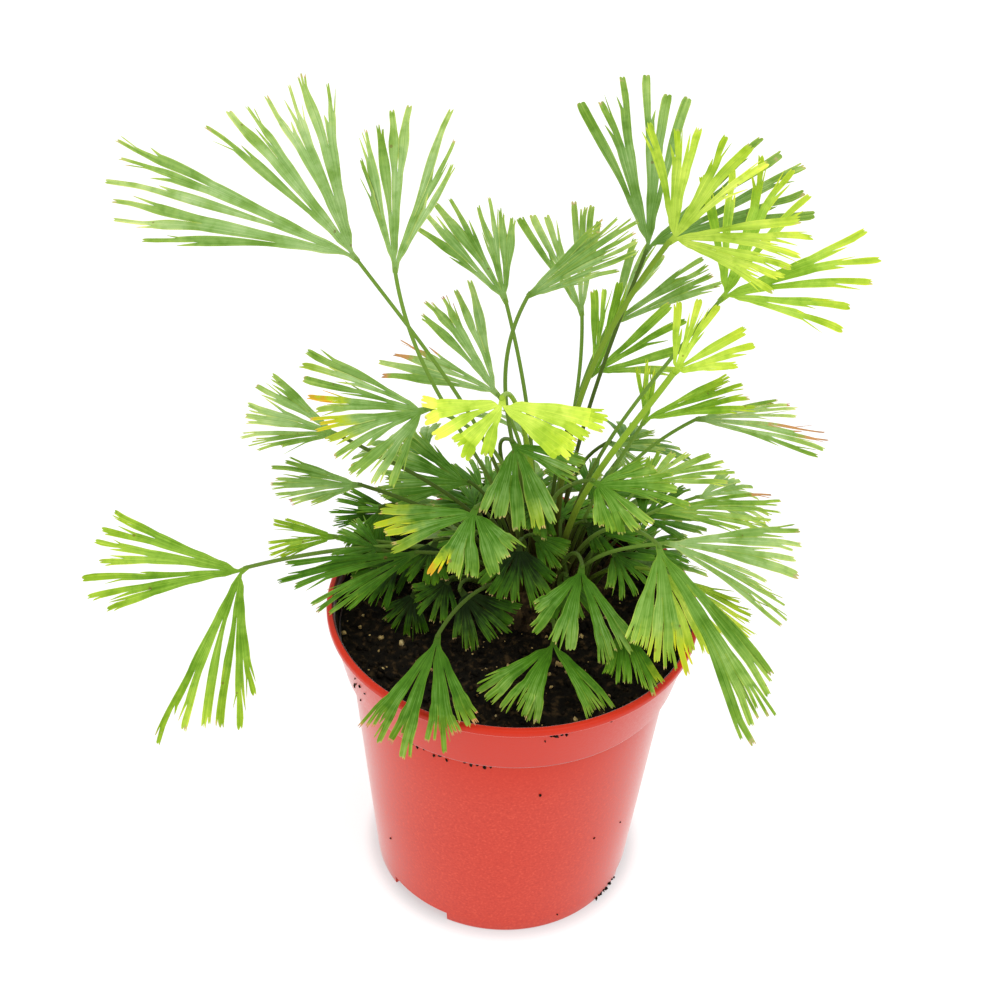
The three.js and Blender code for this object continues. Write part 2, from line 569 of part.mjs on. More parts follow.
// The fan as a flat sheet: both halves leave one short base.
function drawFan(frond, random) {
  const sheet = new Sheet();
  const start = sheet.addRow({ x: 0, y: 0 }, [1, 0], FAN_BASE_WIDTH, [0, 1], 0);
  const fork = sheet.addRow({ x: FIRST_FORK, y: 0 }, [1, 0], FIRST_FORK_WIDTH, [0, 0.5, 1], 0);
  sheet.bridge(start, fork);
  [frond.left, frond.right].forEach((measures, side) => {
    const row = fork.slice(side, side + 2);
    const [a, b] = row.map((number) => sheet.points[number]);
    const reach = (measures[2] + measures[3]) / 2;
    const half = {
      habit: frond.habit,
      teeth: frond.teeth ?? frond.habit.teeth,
      stripWidthAt: stripWidthRule(measures, frond.habit),
    };
    const ends = stripEnds(measures, random);
    growBand(sheet, row, between(a, b, 0.5), FIRST_FORK / reach, ends, 0, half, random);
  });
  return sheet;
}

// Bends the sheet into its arch in space and gives it its thickness.
function fanSolid(frond, random) {
  const sheet = drawFan(frond, random);
  const { apex, middle, across, face } = fanFrame(frond);
  const reach = Math.max(...frond.left.slice(2, 4), ...frond.right.slice(2, 4));
  const places = sheet.points.map(({ x, y, lift }) => {
    const share = Math.hypot(x, y) / reach;
    const height = 4 * ARCH * reach * share * (1 - share) + lift;
    return apex.clone().addScaledVector(middle, x).addScaledVector(across, y).addScaledVector(face, height);
  });
  return thickened(places, sheet.triangles);
}

// A closed shell of the blade's thickness about a sheet, with the same triangles on both faces.
function thickened(places, triangles) {
  const normals = places.map(() => new THREE.Vector3());
  const edges = new Map();
  for (const [a, b, c] of triangles) {
    const ab = places[b].clone().sub(places[a]);
    const ac = places[c].clone().sub(places[a]);
    const normal = ab.cross(ac).normalize();
    for (const corner of [a, b, c]) normals[corner].add(normal);
    for (const [from, to] of [[a, b], [b, c], [c, a]]) {
      if (edges.has(`${to} ${from}`)) edges.delete(`${to} ${from}`);
      else edges.set(`${from} ${to}`, [from, to]);
    }
  }
  for (const normal of normals) normal.normalize();
  const count = places.length;
  const positions = [];
  for (const side of [1, -1]) {
    places.forEach((place, i) => {
      const point = place.clone().addScaledVector(normals[i], (side * BLADE_THICKNESS) / 2);
      positions.push(point.x, point.y, point.z);
    });
  }
  const indices = [];
  for (const [a, b, c] of triangles) indices.push(a, b, c, count + c, count + b, count + a);
  for (const [from, to] of edges.values()) {
    indices.push(from, count + from, to, to, count + from, count + to);
  }
  return meshSolid(positions, indices);
}

// A stalk of a given radius along its curve, in steps of about one length.
function stipeSolid(curve, radius) {
  const steps = Math.max(STIPE_LEAST_STEPS, Math.round(curve.getLength() / STIPE_STEP));
  return tubeSolid(curve, radius, STIPE_SIDES, steps);
}

function makeFrond(frond, seed) {
  const stipe = stipeSolid(stipeCurve(frond), STIPE_RADIUS);
  return fanSolid(frond, seededRandom(seed)).add(stipe);
}

// The plain hole that a stalk stands in: the stalk's own tube, a little wider and deeper.
function sleeve(frond) {
  const curve = stipeCurve(frond);
  curve.v0 = curve.v0.clone().setZ(ROOT_FLOOR - CLEARANCE);
  return stipeSolid(curve, STIPE_RADIUS + SLEEVE_GAP);
}

function makeCrown() {
  let crown = crownForm(0);
  for (const frond of FRONDS) crown = crown.subtract(sleeve(frond));
  return crown;
}

function finish(color, roughness) {
  return new THREE.MeshStandardMaterial({ color, roughness, metalness: 0 });
}

const group = new THREE.Group();

function addPiece(name, solid, material) {
  const mesh = new THREE.Mesh(toGeometry(solid), material);
  mesh.name = name;
  group.add(mesh);
}

addPiece('pot', makePot(), finish(POT_RED, POT_ROUGHNESS));
addPiece('soil', makeSoil(crownForm(CLEARANCE)), finish(SOIL_BROWN, SOIL_ROUGHNESS));
addPiece('crown', makeCrown(), finish(CROWN_BROWN, CROWN_ROUGHNESS));
FRONDS.forEach((frond, i) => {
  addPiece(frond.name, makeFrond(frond, FIRST_SEED + SEED_STEP * i), finish(frond.tone, LEAF_ROUGHNESS));
});

export default group;
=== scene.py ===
"""Potted fern: the fine shape and the finish of its fronds, crown, potting mix and nursery pot.

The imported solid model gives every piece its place. The frond table and the rules that grow a fan are
those of the solid model, drawn here in finer steps. Lengths in the table and in the shape rules are
millimetres and angles are degrees, and each mesh is scaled to metres as it is made. +Z is up and the
front of the plant looks along -Y."""

import math
from collections import namedtuple

import bmesh
import bpy
import numpy as np
from mathutils import Matrix, Quaternion, Vector, noise


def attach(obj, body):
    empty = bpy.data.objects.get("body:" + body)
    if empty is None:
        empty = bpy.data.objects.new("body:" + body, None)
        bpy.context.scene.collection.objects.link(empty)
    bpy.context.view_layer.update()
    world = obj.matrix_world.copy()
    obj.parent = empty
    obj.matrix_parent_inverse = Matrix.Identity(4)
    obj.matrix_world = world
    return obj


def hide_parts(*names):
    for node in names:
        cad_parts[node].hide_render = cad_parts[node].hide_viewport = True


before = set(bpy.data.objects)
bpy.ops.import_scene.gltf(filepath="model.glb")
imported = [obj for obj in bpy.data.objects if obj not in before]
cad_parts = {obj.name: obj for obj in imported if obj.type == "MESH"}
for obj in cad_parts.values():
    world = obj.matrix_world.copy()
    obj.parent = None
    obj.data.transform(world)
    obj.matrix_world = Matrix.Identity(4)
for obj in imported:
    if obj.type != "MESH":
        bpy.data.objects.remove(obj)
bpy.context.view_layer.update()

bl_info = {
    "name": "Potted fern looks",
    "version": (1, 0, 0),
    "blender": (4, 5, 0),
    "location": "3D View > Sidebar > Fern",
    "description": "Builds the fine fronds, crown, potting mix and pot of a small potted fern",
    "category": "Object",
}

MM = 0.001
BODY = "root"
# What a stream of seeded numbers is multiplied by and where it wraps round, as in the solid model
RANDOM_FACTOR = 16807
RANDOM_RANGE = 2147483647

# The pot's form, as in the solid model
POT_HEIGHT = 110
RIM_RADIUS = 60
BASE_RADIUS = 44.6
COLLAR_FOOT = 88
COLLAR_STEP = 1.6
WALL_TOP_RADIUS = 52.6
COLLAR_FOOT_RADIUS = 55
COLLAR_TOP_RADIUS = 58.8
LIP_HEIGHT = 3
LIP_WIDTH = 2.4
COLLAR_BASE = COLLAR_FOOT + COLLAR_STEP
LIP_FOOT = POT_HEIGHT - LIP_HEIGHT
INNER_RIM = RIM_RADIUS - LIP_WIDTH
POT_WALL = 1.2
CHANNEL_AZIMUTHS = (111, 231, 351)
CHANNEL_WIDTH = 24
CHANNEL_HEIGHT = 4
CHANNEL_INNER = 27
CHANNEL_OUTER = 1.1 * BASE_RADIUS
WALL_RINGS = (5.5, 7.5, 12, 40)
DRAIN_RADIUS = 4
DRAIN_DISTANCE = 36
POT_SIDES = 160
DRAIN_SIDES = 32
ROUNDING_STEPS = 4
POT_SHARPNESS = 35

# The soil and the crown, as in the solid model
SOIL_EDGE_HEIGHT = 100.5
SOIL_DOME = 2.5
SOIL_LUMP = 0.7
SOIL_BROAD = ((0.23, 1.1), (0.27, 0.4))
SOIL_FINE = (0.61, -0.47)
FINE_SHARE = 0.6
CLEARANCE = 0.3
CROWN_X = 9
CROWN_Y = 16
CROWN_RADIUS = 23.5
CROWN_TOP = 108
CROWN_UNDERSIDE = 96
CROWN_OUTLINE = ((0.8, 0), (1, 0.35), (0.92, 0.7), (0.65, 0.93), (0.3, 1))
CROWN_BULGES = ((3, 0.07, 0.6), (7, 0.05, 0))
ROOT_SPREAD = 16
ROOT_BALANCE = 0.55
ROOT_GAP = 3.2
ROOT_FLOOR = 99
ROOT_ROUNDS = 80

# How finely the soil and the crown are built here, and their clods, crumbs, film, knobs and stubs
SOIL_RINGS = 90
SOIL_SIDES = 240
CLOD_HEIGHT = 0.8
CLOD_SCALE = 0.4
LUMP_ROUGHNESS = 0.9
LUMP_SHAPES = 14
LUMP_SCALE = 3
LUMP_VARIETY = 50
CRUMB_SEED = 811
FILM_HEIGHTS = (100.9, 102.5, 104, 105.8)
FILM_GAP = 0.1
FILM_DEPTH = 0.12
FILM_WAVE = 0.9
FILM_SCALE = 9
CROWN_RINGS = 28
CROWN_SIDES = 96
CROWN_ROUGHNESS = 0.7
KNOB_SCALE = 0.35
CROWN_SEED = 331
STUB_COUNT = 26
STUB_LENGTH = 6
STUB_RADIUS = 1
STUB_SIDES = 6
STUB_STEP = 1.5
STUB_LEVELS = (0.45, 0.5)
STUB_INSET = 0.93
STUB_SINK = 1.5
STUB_LEAN = 0.5
STUB_HANDLES = (0.4, 0.7)
# The least amounts that keep a level below the top one and a direction's length above nothing
TINY = 1e-6
LEAST_NORMAL = 1e-12
# How fine noise gets, as the exponent, the frequency ratio and the number of its octaves
CLOD_NOISE = (0.8, 2.1, 5)
ROUGH_NOISE = (0.9, 2.2, 4)

# Where crumbs stick to the pot's wall, as azimuth, height and size, how far they stand off it, and where
# pale grains lie in the open
WALL_CRUMBS = (
    (282.1, 73.3, 1.4), (324.6, 38.1, 1), (308.4, 40.9, 1.1), (216.2, 25.3, 1), (296, 4.9, 0.9),
    (236, 87.3, 2), (237.8, 86.4, 1.6), (240.5, 87.2, 1.1), (244.6, 86, 1.5), (246.8, 87.2, 2.1),
    (249.2, 86, 1.2), (255.6, 87.3, 1.3), (257.8, 86.5, 1.7), (260, 87.4, 1.4), (262.4, 86.6, 1.8),
    (264.5, 87.2, 1.2), (280.7, 103.9, 1.1), (282.2, 106.6, 1.3), (283.7, 106.1, 1.9),
    (285.4, 106.6, 1.3), (286.9, 106, 1.5), (288.4, 106.8, 0.9), (300.7, 107, 1.6), (211.6, 98.1, 1.5),
    (213.4, 99.9, 1), (216.3, 101.3, 1.5), (214, 102.9, 1.1), (218.6, 99.8, 0.8), (210, 95.2, 1),
    (212.7, 91.5, 1.2), (228, 101, 0.8), (224.5, 87, 1.2), (318.5, 1, 1.6), (320.4, 1.4, 1.2),
    (322, 0.9, 1.8), (323.8, 1.6, 1.3), (325.6, 1.2, 1.9), (327.5, 2.4, 1.4), (329.4, 1.3, 1.6),
    (331, 2, 1.1), (333.6, 1, 1.2),
)
WALL_GAP = 0.1
PERLITE_SEEN = ((-54, -9), (-42, -18), (-35, -14), (-40, -26), (-34, -6))

# The fans and their stalks, as in the solid model
STIPE_SINK = 1.5
STIPE_RISE = 0.4
STIPE_APPROACH = 0.35
FAN_BASE_WIDTH = 1.5
FIRST_FORK = 3
FIRST_FORK_WIDTH = 2.25
ARCH = 0.07
EDGE_BOW = 0.05
REACH_VARIATION = 0.14
REACH_MIDDLE = 0.6
ANGLE_VARIATION = 0.3
LIFT_VARIATION = 2.4
FORK_VARIATION = 0.08
FIRST_SEED = 101
SEED_STEP = 17

# What is finer here than in the solid model
DETAIL_SEED = 5003
COLUMNS = 6
VEIN_COLUMNS = 3
ROW_STEP = 1.5
FEWEST_STEPS = 6
CURVE_SAMPLES = 20
OWN_HEADING = 0.65
SWELL_PEAK = 0.6
TWIST = 0.5
CURL_START = 0.3
CURL_SPEED = 1.2
WITHERED = 0.35
BEND = 14
SPUR_SPLAY = 9
SPUR_LENGTH = 5.5
SPUR_COLUMNS = 2
FEWEST_COLUMNS = 3
EDGE_WIDTH = 0.5
PLEAT_DEPTH = 0.4
EDGE_THICKNESS = 0.16
BLADE_THICKNESS = 0.34
LEAF_SHARPNESS = 50
STIPE_SIDES = 8
STIPE_STEP = 2.5
STALK_MARK = 1.02
FINGER_SPLAY = 8
TOOTH_LENGTH = 1.3
# How rare three fingers are, where a pair is parted, and how long the shorter fingers get at most
THREES = 0.25
PAIR_CUTS = (0.66, 0.34)
MOST_EVEN = 0.95
# Ranges of a strip's own values, as the least one and what may be added to it
UNEVEN = (0.6, 0.8)
TOOTH_REACH = (0.5, 0.6)
SPUR_REACH = (0.5, 1)
SPUR_PLACES = (0.45, 0.5)
# What each point of a frond is marked with, for its material
MARKS = ("along", "inside", "column", "tint", "burn", "yellow")
# How a finger, tooth or spur changes width: shares of its length, and of its first width there
FINGER = ((0.3, 0.96), (0.8, 0.92), (1, 0.85))
TOOTH = ((0.5, 0.75), (1, 0.25))
LOBE = ((0.4, 0.98), (0.75, 0.82), (0.93, 0.5), (1, 0.2))
BLADE = ((0.35, 0.88), (0.7, 0.62), (1, 0.22))
NEEDLE = ((0.35, 0.75), (0.7, 0.45), (0.92, 0.2), (1, 0.06))

# The camera and the stage. The camera looks along +Y, as the photograph does. Its focal length and the
# picture's width are in pixels, and the nearest that it sees is in metres.
CAMERA_AIM = (-5.5, 121, 60)
CAMERA_RISE = 36.6
CAMERA_DISTANCE = 650
CAMERA_FOCUS = 1619.5
CAMERA_ROLL = 2.35
PICTURE = 1000
SENSOR = 36
CLIP_START = 0.01
FLOOR_SIZE = 4000
# Each light's name, its place and width in metres, and its share of the main light's power
LIGHTS = (("fern_key", (0.5, -0.5, 1.3), 0.9, 1), ("fern_fill", (-0.9, -0.6, 0.9), 1.2, 0.4))

# Finishes, as linear colours
POT_RED = (0.58, 0.044, 0.022)
POT_LIGHT = (0.74, 0.1, 0.05)
POT_DARK = (0.46, 0.022, 0.012)
# The deeper red of the upper wall and the collar is painted shade, that of the leaves over them
POT_PAINTED_SHADE = (0.57, 0.022, 0.003)
# Near-black red, for soil marks in the crease under the collar and for painted shade there and on the pot's
# inside faces
POT_STAIN_AND_SHADE = (0.06, 0.012, 0.006)
# The colour of the floor's glow at the pot's foot, a painted shadow
FLOOR_SHADED = (0.6, 0.62, 0.63)
SOIL_BROWN = (0.008, 0.006, 0.0035)
SOIL_LIGHT = (0.055, 0.034, 0.015)
SOIL_DARK = (0.002, 0.0015, 0.001)
PERLITE_CREAM = (0.5, 0.35, 0.13)
PERLITE_WHITE = (0.65, 0.52, 0.26)
PERLITE_SHADE = (0.14, 0.08, 0.025)
CROWN_BROWN = (0.035, 0.022, 0.01)
CROWN_LIGHT = (0.1, 0.06, 0.025)
# A blade goes from its young colour through its grown one to its old one by its frond's darkness, which is
# partly its own tone and partly painted shade; the near-black old green is painted deep shade
GREEN_YOUNG = (0.29, 0.47, 0.14)
GREEN_GROWN = (0.064, 0.19, 0.01)
GREEN_OLD_AND_SHADED = (0.006, 0.017, 0.001)
GREEN_STALK = (0.17, 0.3, 0.04)
LIME_YOUNG = (0.53, 0.74, 0.075)
LIME_GROWN = (0.3, 0.46, 0.045)
LIME_OLD_AND_SHADED = (0.17, 0.3, 0.02)
LIME_STALK = (0.26, 0.42, 0.03)
SHADED_STALK = (0.07, 0.12, 0.015)
STALK_FOOT = (0.05, 0.03, 0.008)
YELLOW_BLADE = (0.42, 0.52, 0.02)
ORANGE_TIP = (0.56, 0.28, 0.1)
GOLD_TIP = (0.56, 0.34, 0.02)
TAN_TIP = (0.5, 0.36, 0.2)
BROWN_TIP = (0.38, 0.2, 0.11)
SPOT_BROWN = (0.15, 0.05, 0.02)
# What the patches, veins, margins and tips of a blade do to its colour
PATCH_DARK = (0.7, 0.78, 0.5)
# Light patches are partly the blade's own tone and partly a painted bluish sheen
PATCH_LIGHT_AND_SHEEN = (1.25, 1.14, 1.4)
VEIN_LIGHT = (1.3, 1.15, 1.35)
GREEN_MARGIN = (1.4, 1.18, 1)
LIME_MARGIN = (1.1, 1.05, 1)
TIP_LIGHT = (1.2, 1.12, 0.85)
FRESH_TINT = (1.12, 1.18, 0.35)

# The patterns on leaves: their waves in a metre, those of hairs and streaks across a column and along
# a fan's reach, and how strong each one is
CLOUD_SCALE = 110
MOTTLE_SCALE = 420
BURN_SCALE = 600
SKIN_SCALE = 900
GLOSS_SCALE = 160
HAIRS_A_COLUMN = 3
HAIR_DEPTH = 0.3
STREAKS_ACROSS = 1.3
STREAKS_ALONG = 2.5
STREAKS = 0.75
RAGGEDNESS = 0.4
BURN_RAGGEDNESS = 0.8
LEAST_BURN = 0.001
SPOT_SHARE = 0.03
SPOT_SIZE = 0.3
SPOT_STRENGTH = 0.5
SKIN_DEPTH = 0.5

# The ranges of a pattern or a mark over which a finish changes, and then, where it isn't from 0 to 1,
# what it changes from and to. Marks are shares of a fan's reach, columns across a strip, or millimetres
# from its edge.
VEIN_WIDTH = (0.3, 0)
HAIR_WIDTH = (0.6, 0)
DARKENING = (0.1, 1, 1.2, 0.72)
DARK_CLOUDS = (0.5, 0.34)
LIGHT_CLOUDS = (0.5, 0.66)
DARK_MOTTLES = (0.5, 0.3, 0, 0.5)
LIGHT_STRIPS = (0, 0.5, 0, 0.9)
DARK_STRIPS = (0, -0.5, 0, 0.9)
PALE_TIPS = (0.6, 1)
YELLOWING = (0.58, 0.92)
GOLD_REACH = (0.7, 0.92)
GOLDING = (1, 1.7)
TANNING = (0.99, 1.06, 0, 0.7)
MARGIN_FADE = (0.45, 0.05)
ORANGE_BURN = (0.05, 0.5)
BROWN_BURN = (0.8, 1.2)
STALK_START = (0.02, -0.04)
STALK_SHADE = (0, 0.6)
STALK_DARKENING = (-0.4, -0.95)
GLOSS_PATCHES = (0.3, 0.7)
LEAF_ROUGHNESS = (0, 1, 0.4, 0.6)
SPECK_SIZES = (0, 1, 0.5, 1)
SPECK_EDGE = (0, 0.3)
LIGHT_DRIFT = (0.5, 0.72)
DARK_DRIFT = (0.5, 0.28)
POT_ROUGHNESS = (0.3, 0.7, 0.28, 0.42)
SOIL_ROUGHNESS = (0.3, 0.7, 0.75, 0.98)

# The same for the pot: by height in metres, where painted shade deepens the upper wall and the collar;
# by its smudges, which are soil marks and partly painted shade in the crease under the collar; and by how
# far a face looks outward, for painted shade on its inside faces. Then for the floor, by the distance from
# the pot's middle in metres, where its glow dims as a painted shadow. Then come the smudges' waves in a
# metre and how strong the dust is.
PAINTED_SHADE_HEIGHTS = (0.06, 0.1, 0, 0.85)
LEDGE_START = (0.0868, 0.0882)
LEDGE_END = (0.0905, 0.0896)
SMUDGES_AND_CREASE_SHADE = (0.48, 0.62, 0.35, 0.85)
INNER_FACES = (-0.02, -0.04, 0, 0.9)
FLOOR_SHADE = (0.0445, 0.051)
SMUDGE_AND_SHADE_SCALE = 140
DUST_STRENGTH = 0.25

# How a fan grows. Its forks and the start of its fingers are shares of its reach. Spreading, swell and
# taper say how wide its strips get, and pairs, spurs and teeth how often their ends divide. Evenness is
# the least length of the shorter fingers, and recovery how slowly a strip widens again after a spur. With
# two teeth, as the solid model counts them, the longest finger is at an edge.
Habit = namedtuple("Habit", "forks spreading strip_width taper finger_start finger_range pairs teeth swell "
                            "spurs evenness recovery tip")
# A row of points across a strip, how the points of a strip are marked and turned, what half a fan is
# grown by, and how grains are strewn
Row = namedtuple("Row", "centre heading low high lift")
Look = namedtuple("Look", "tint burn yellow twist curl", defaults=(0,))
Half = namedtuple("Half", "habit teeth width_at")
Grains = namedtuple("Grains", "stretch subdivisions inset smallest spread rarity rise", defaults=(0,) * 5)

PLAIN = Look(0, 0, 0, 0)

# Loose grains: how each is stretched and how finely it is built, how far they stay from the pot's wall,
# the range of their sizes, how much rarer the large ones are, and how far they stand up
CRUMBS = Grains(stretch=(1, 0.8, 0.65), subdivisions=1, inset=2, smallest=0.7, spread=2.6, rarity=3,
                rise=0.1)
PERLITE = Grains(stretch=(1, 0.85, 0.7), subdivisions=2, inset=3, smallest=0.8, spread=1.5, rarity=1,
                 rise=0.2)
STUCK = Grains(stretch=(1, 0.7, 0.6), subdivisions=1)

# Open fans fork deeply into narrow strips. Webbed fans stay joined for longer, in wide strips. The others
# are variants of the two that only this model tells apart.
OPEN = Habit(forks=(0.17, 0.34, 0.62), spreading=0.66, strip_width=2.6, taper=0, finger_start=0.92,
             finger_range=0.07, pairs=0.75, teeth=1, swell=1.12, spurs=0.7, evenness=0.4, recovery=0.88,
             tip=TOOTH)
TALL = OPEN._replace(taper=0.38, finger_start=0.89, pairs=0.4, swell=1.25, spurs=0.4, evenness=0.45,
                     tip=BLADE)
ROUNDED = TALL._replace(taper=0, finger_start=0.93, pairs=0.2, swell=1.15, tip=LOBE)
WEBBED = OPEN._replace(forks=(0.2, 0.34, 0.48), spreading=0.7, strip_width=3.3, finger_start=0.82,
                       finger_range=0.12, pairs=0.85, teeth=0, swell=1, spurs=0.3, evenness=0.6, recovery=0.9)
FULL = WEBBED._replace(forks=(0.22, 0.4, 0.6), spreading=0.88, strip_width=4, spurs=0.12, pairs=0.9)
CLEFT = FULL._replace(forks=(0.3, 0.6, 0.72), spreading=0.78)
LOBED = WEBBED._replace(forks=(0.2, 0.36, 0.82), spreading=0.74, strip_width=3.6, finger_start=0.9,
                        finger_range=0.06, pairs=0.4, swell=1.03, spurs=0, evenness=0.75, recovery=0.8,
                        tip=LOBE)
BROAD = LOBED._replace(forks=(0.25, 0.66, 0.85), spreading=0.94)

GREEN = "green_frond"
LIME = "lime_frond"
SHADE = "shaded_frond"

Frond = namedtuple("Frond", "apex aim left right habit tone teeth", defaults=(WEBBED, SHADE, None))


def even_frond(apex, aim, left, tone=SHADE):
    """A webbed frond whose right half mirrors its left one."""
    start, stop, near, far, count = left
    return Frond(apex, aim, left, (-stop, -start, far, near, count), WEBBED, tone)


# One row for each frond: the fan's apex, then the azimuth and rise of its middle line and its roll
# about it, then its left and right halves as from and to in degrees, the reach there and the number
# of strips. Then come its habit and its finish, webbed and shaded where the row names none, and its
# teeth where they aren't the habit's.
FRONDS = (
    # Tall fronds at the left and in the middle
    Frond((-50, 23, 218), (152, 29, 36), (-38, -15, 66, 78, 6), (-1, 38, 58, 56, 7), OPEN, GREEN),
    Frond((-38, 8, 223), (89, 55, -1), (-20, 2, 34, 52, 5), (16, 26, 48, 36, 3), OPEN, GREEN),
    Frond((-6, 30, 202), (127, 45, 24), (-27, -5, 35, 36, 4), (6, 27, 34, 28, 4), WEBBED, GREEN),
    Frond((-7, 21, 174), (150, 28, 29), (-34, -14, 35, 37, 4), (4, 34, 38, 38, 5), OPEN, GREEN),
    Frond((0, 3, 220), (348, 40, -64), (-12, -4, 35, 40, 3), (0, 12, 42, 32, 4), WEBBED, GREEN),
    Frond((18, 45, 190), (110, 48, 17), (-21, -8, 38, 36, 3), (7, 21, 35, 33, 4), OPEN, GREEN),
    # Tall fronds at the right
    Frond((35, 35, 218), (53, 45, -24), (-50, -12, 50, 52, 6), (18, 50, 51, 53, 5), OPEN, SHADE),
    Frond((38, 5, 237), (29, 25, -32), (-62, -4, 36, 37, 6), (25, 64, 40, 34, 6), OPEN, LIME),
    Frond((56, 15, 214), (31, 30, -31), (-56, -9, 42, 44, 5), (15, 56, 48, 35, 5), OPEN, GREEN),
    Frond((42, -5, 200), (36, 33, -28), (-38, -11, 23, 26, 3), (13, 38, 26, 21, 3), OPEN, LIME),
    Frond((21, 30, 177), (40, 31, -41), (-42, -19, 27, 30, 4), (4, 42, 38, 28, 4), OPEN, SHADE),
    Frond((27, 58, 178), (38, 33, -33), (-25, -6, 30, 31, 3), (10, 25, 41, 39, 4), OPEN, GREEN),
    Frond((37, 13, 171), (50, 26, -24), (-41, -24, 20, 20, 3), (22, 42, 34, 36, 4), WEBBED, GREEN),
    Frond((55, 25, 166), (356, 3, -40), (-14, -3, 27, 32, 4), (4, 16, 41, 38, 4), OPEN, GREEN),
    # The lime frond that arches over to the front
    Frond((-6, -22, 202), (270, -35, 0), (-82, -42, 30, 24, 6), (12, 82, 20, 22, 6), WEBBED, LIME, 2),
    # Fronds at the left, from the top down
    Frond((-27, -10, 189), (199, -12, 39), (-46, 10, 26, 33, 6), (18, 46, 32, 38, 5), WEBBED, GREEN, 2),
    Frond((-56, 15, 161), (171, 6, 35), (-28, -14, 20, 34, 4), (-3, 28, 29, 32, 4)),
    Frond((-49, 10, 146), (180, -6, 40), (-20, 2, 18, 30, 4), (6, 20, 30, 26, 3)),
    Frond((-58, 15, 121), (178, -7, 40), (-19, -3, 20, 25, 4), (12, 20, 23, 19, 3), WEBBED, GREEN),
    Frond((-30, -5, 132), (194, -22, 34), (-18, -3, 28, 38, 4), (8, 18, 43, 44, 3), WEBBED, GREEN),
    Frond((-86, 5, 115), (210, -27, 30), (-59, -27, 46, 60, 6), (20, 59, 50, 52, 7), OPEN, GREEN),
    Frond((-31, -3, 115), (239, -48, 16), (-36, -10, 15, 15, 3), (10, 36, 15, 13, 3)),
    Frond((-17, -12, 124), (315, -35, -30), (-37, 0, 21, 21, 4), (18, 37, 20, 17, 3)),
    # Fronds at the front
    Frond((-22, -42, 131), (262, -50, 0), (-32, -4, 28, 35, 5), (8, 32, 36, 36, 4), WEBBED, GREEN, 2),
    Frond((13, -27, 118), (262, -28, 5), (-47, -32, 27, 28, 3), (4, 47, 27, 28, 5), WEBBED, GREEN, 2),
    Frond((20, -20, 142), (263, -48, 5), (-41, -20, 31, 31, 4), (1, 41, 27, 22, 4), WEBBED, GREEN, 2),
    Frond((41, -28, 157), (290, -48, -4), (-30, -14, 52, 64, 5), (1, 30, 38, 31, 5), WEBBED, GREEN, 2),
    Frond((45, -12, 145), (357, -14, -29), (-22, -1, 45, 42, 4), (8, 22, 36, 42, 5), WEBBED, GREEN, 2),
    Frond((21, -10, 166), (339, -23, -28), (-52, -19, 18, 30, 5), (4, 52, 23, 15, 5), WEBBED, GREEN, 2),
    Frond((40, 25, 139), (41, 14, -27), (-34, 4, 11, 20, 4), (13, 34, 26, 32, 4), WEBBED, GREEN),
    Frond((44, 12, 139), (5, -6, -29), (-12, -4, 41, 41, 3), (2, 12, 38, 30, 3), WEBBED, GREEN),
    Frond((-3, -8, 178), (308, -34, -22), (-48, -27, 23, 22, 4), (0, 48, 27, 24, 5), WEBBED, GREEN),
    Frond((-12, -25, 166), (245, -33, 13), (-64, 7, 17, 25, 6), (39, 64, 28, 30, 4), WEBBED, GREEN, 2),
    Frond((8, 1, 150), (238, -42, 18), (-40, -14, 13, 12, 3), (8, 46, 12, 11, 3)),
    Frond((1, -8, 140), (271, -45, -1), (-44, -16, 17, 20, 3), (2, 44, 20, 18, 4)),
    Frond((33, -25, 124), (282, -36, -5), (-24, -10, 23, 23, 3), (3, 24, 21, 18, 3)),
    Frond((46, -5, 128), (327, -32, -26), (-26, -12, 26, 37, 4), (3, 26, 27, 27, 3), WEBBED, LIME),
    # Fronds in the shade of the others
    Frond((-15, 26, 137), (175, -4, 48), (-18, 4, 28, 30, 4), (14, 40, 30, 26, 4)),
    Frond((-44, 25, 127), (247, -49, 13), (-26, -6, 18, 19, 3), (8, 26, 20, 18, 3)),
    Frond((-40, 34, 117), (172, 0, 45), (-18, -5, 23, 23, 3), (6, 20, 21, 18, 3)),
    even_frond((5, 4, 134), (332, -30, -30), (-30, -8, 13, 14, 3)),
    Frond((21, 9, 136), (333, -20, -32), (-34, -12, 13, 13, 3), (12, 34, 14, 12, 3)),
    Frond((-25, 7, 128), (239, -40, 18), (-37, -12, 15, 16, 3), (10, 34, 17, 17, 3)),
    Frond((29, 38, 147), (345, -16, -37), (-36, -18, 17, 19, 3), (12, 36, 14, 12, 3)),
    # Fronds that hang over the back of the pot
    even_frond((-30, 50, 130), (125, -22, 8), (-38, -8, 30, 36, 4), GREEN),
    even_frond((2, 58, 134), (95, -22, -5), (-38, -8, 32, 38, 4), GREEN),
    even_frond((36, 54, 132), (62, -22, -8), (-38, -8, 30, 36, 4), GREEN),
    even_frond((60, 38, 126), (28, -24, -15), (-34, -8, 28, 34, 4), GREEN),
    # Low fronds under the others, which hide the soil behind the crown
    Frond((-14, 34, 118), (120, -2, 0), (-66, -12, 26, 28, 4), (12, 60, 28, 24, 4)),
    even_frond((10, 38, 122), (88, -3, 0), (-70, -14, 24, 28, 4)),
    even_frond((32, 34, 119), (55, -3, 0), (-60, -12, 24, 28, 4)),
    even_frond((36, 13, 117), (5, -3, 0), (-54, -12, 23, 27, 3)),
    Frond((-14, 24, 116), (158, -4, 0), (-44, -10, 18, 20, 3), (10, 40, 20, 18, 3)),
    even_frond((-28, 20, 112), (190, -8, 8), (-50, -12, 20, 22, 3)),
)

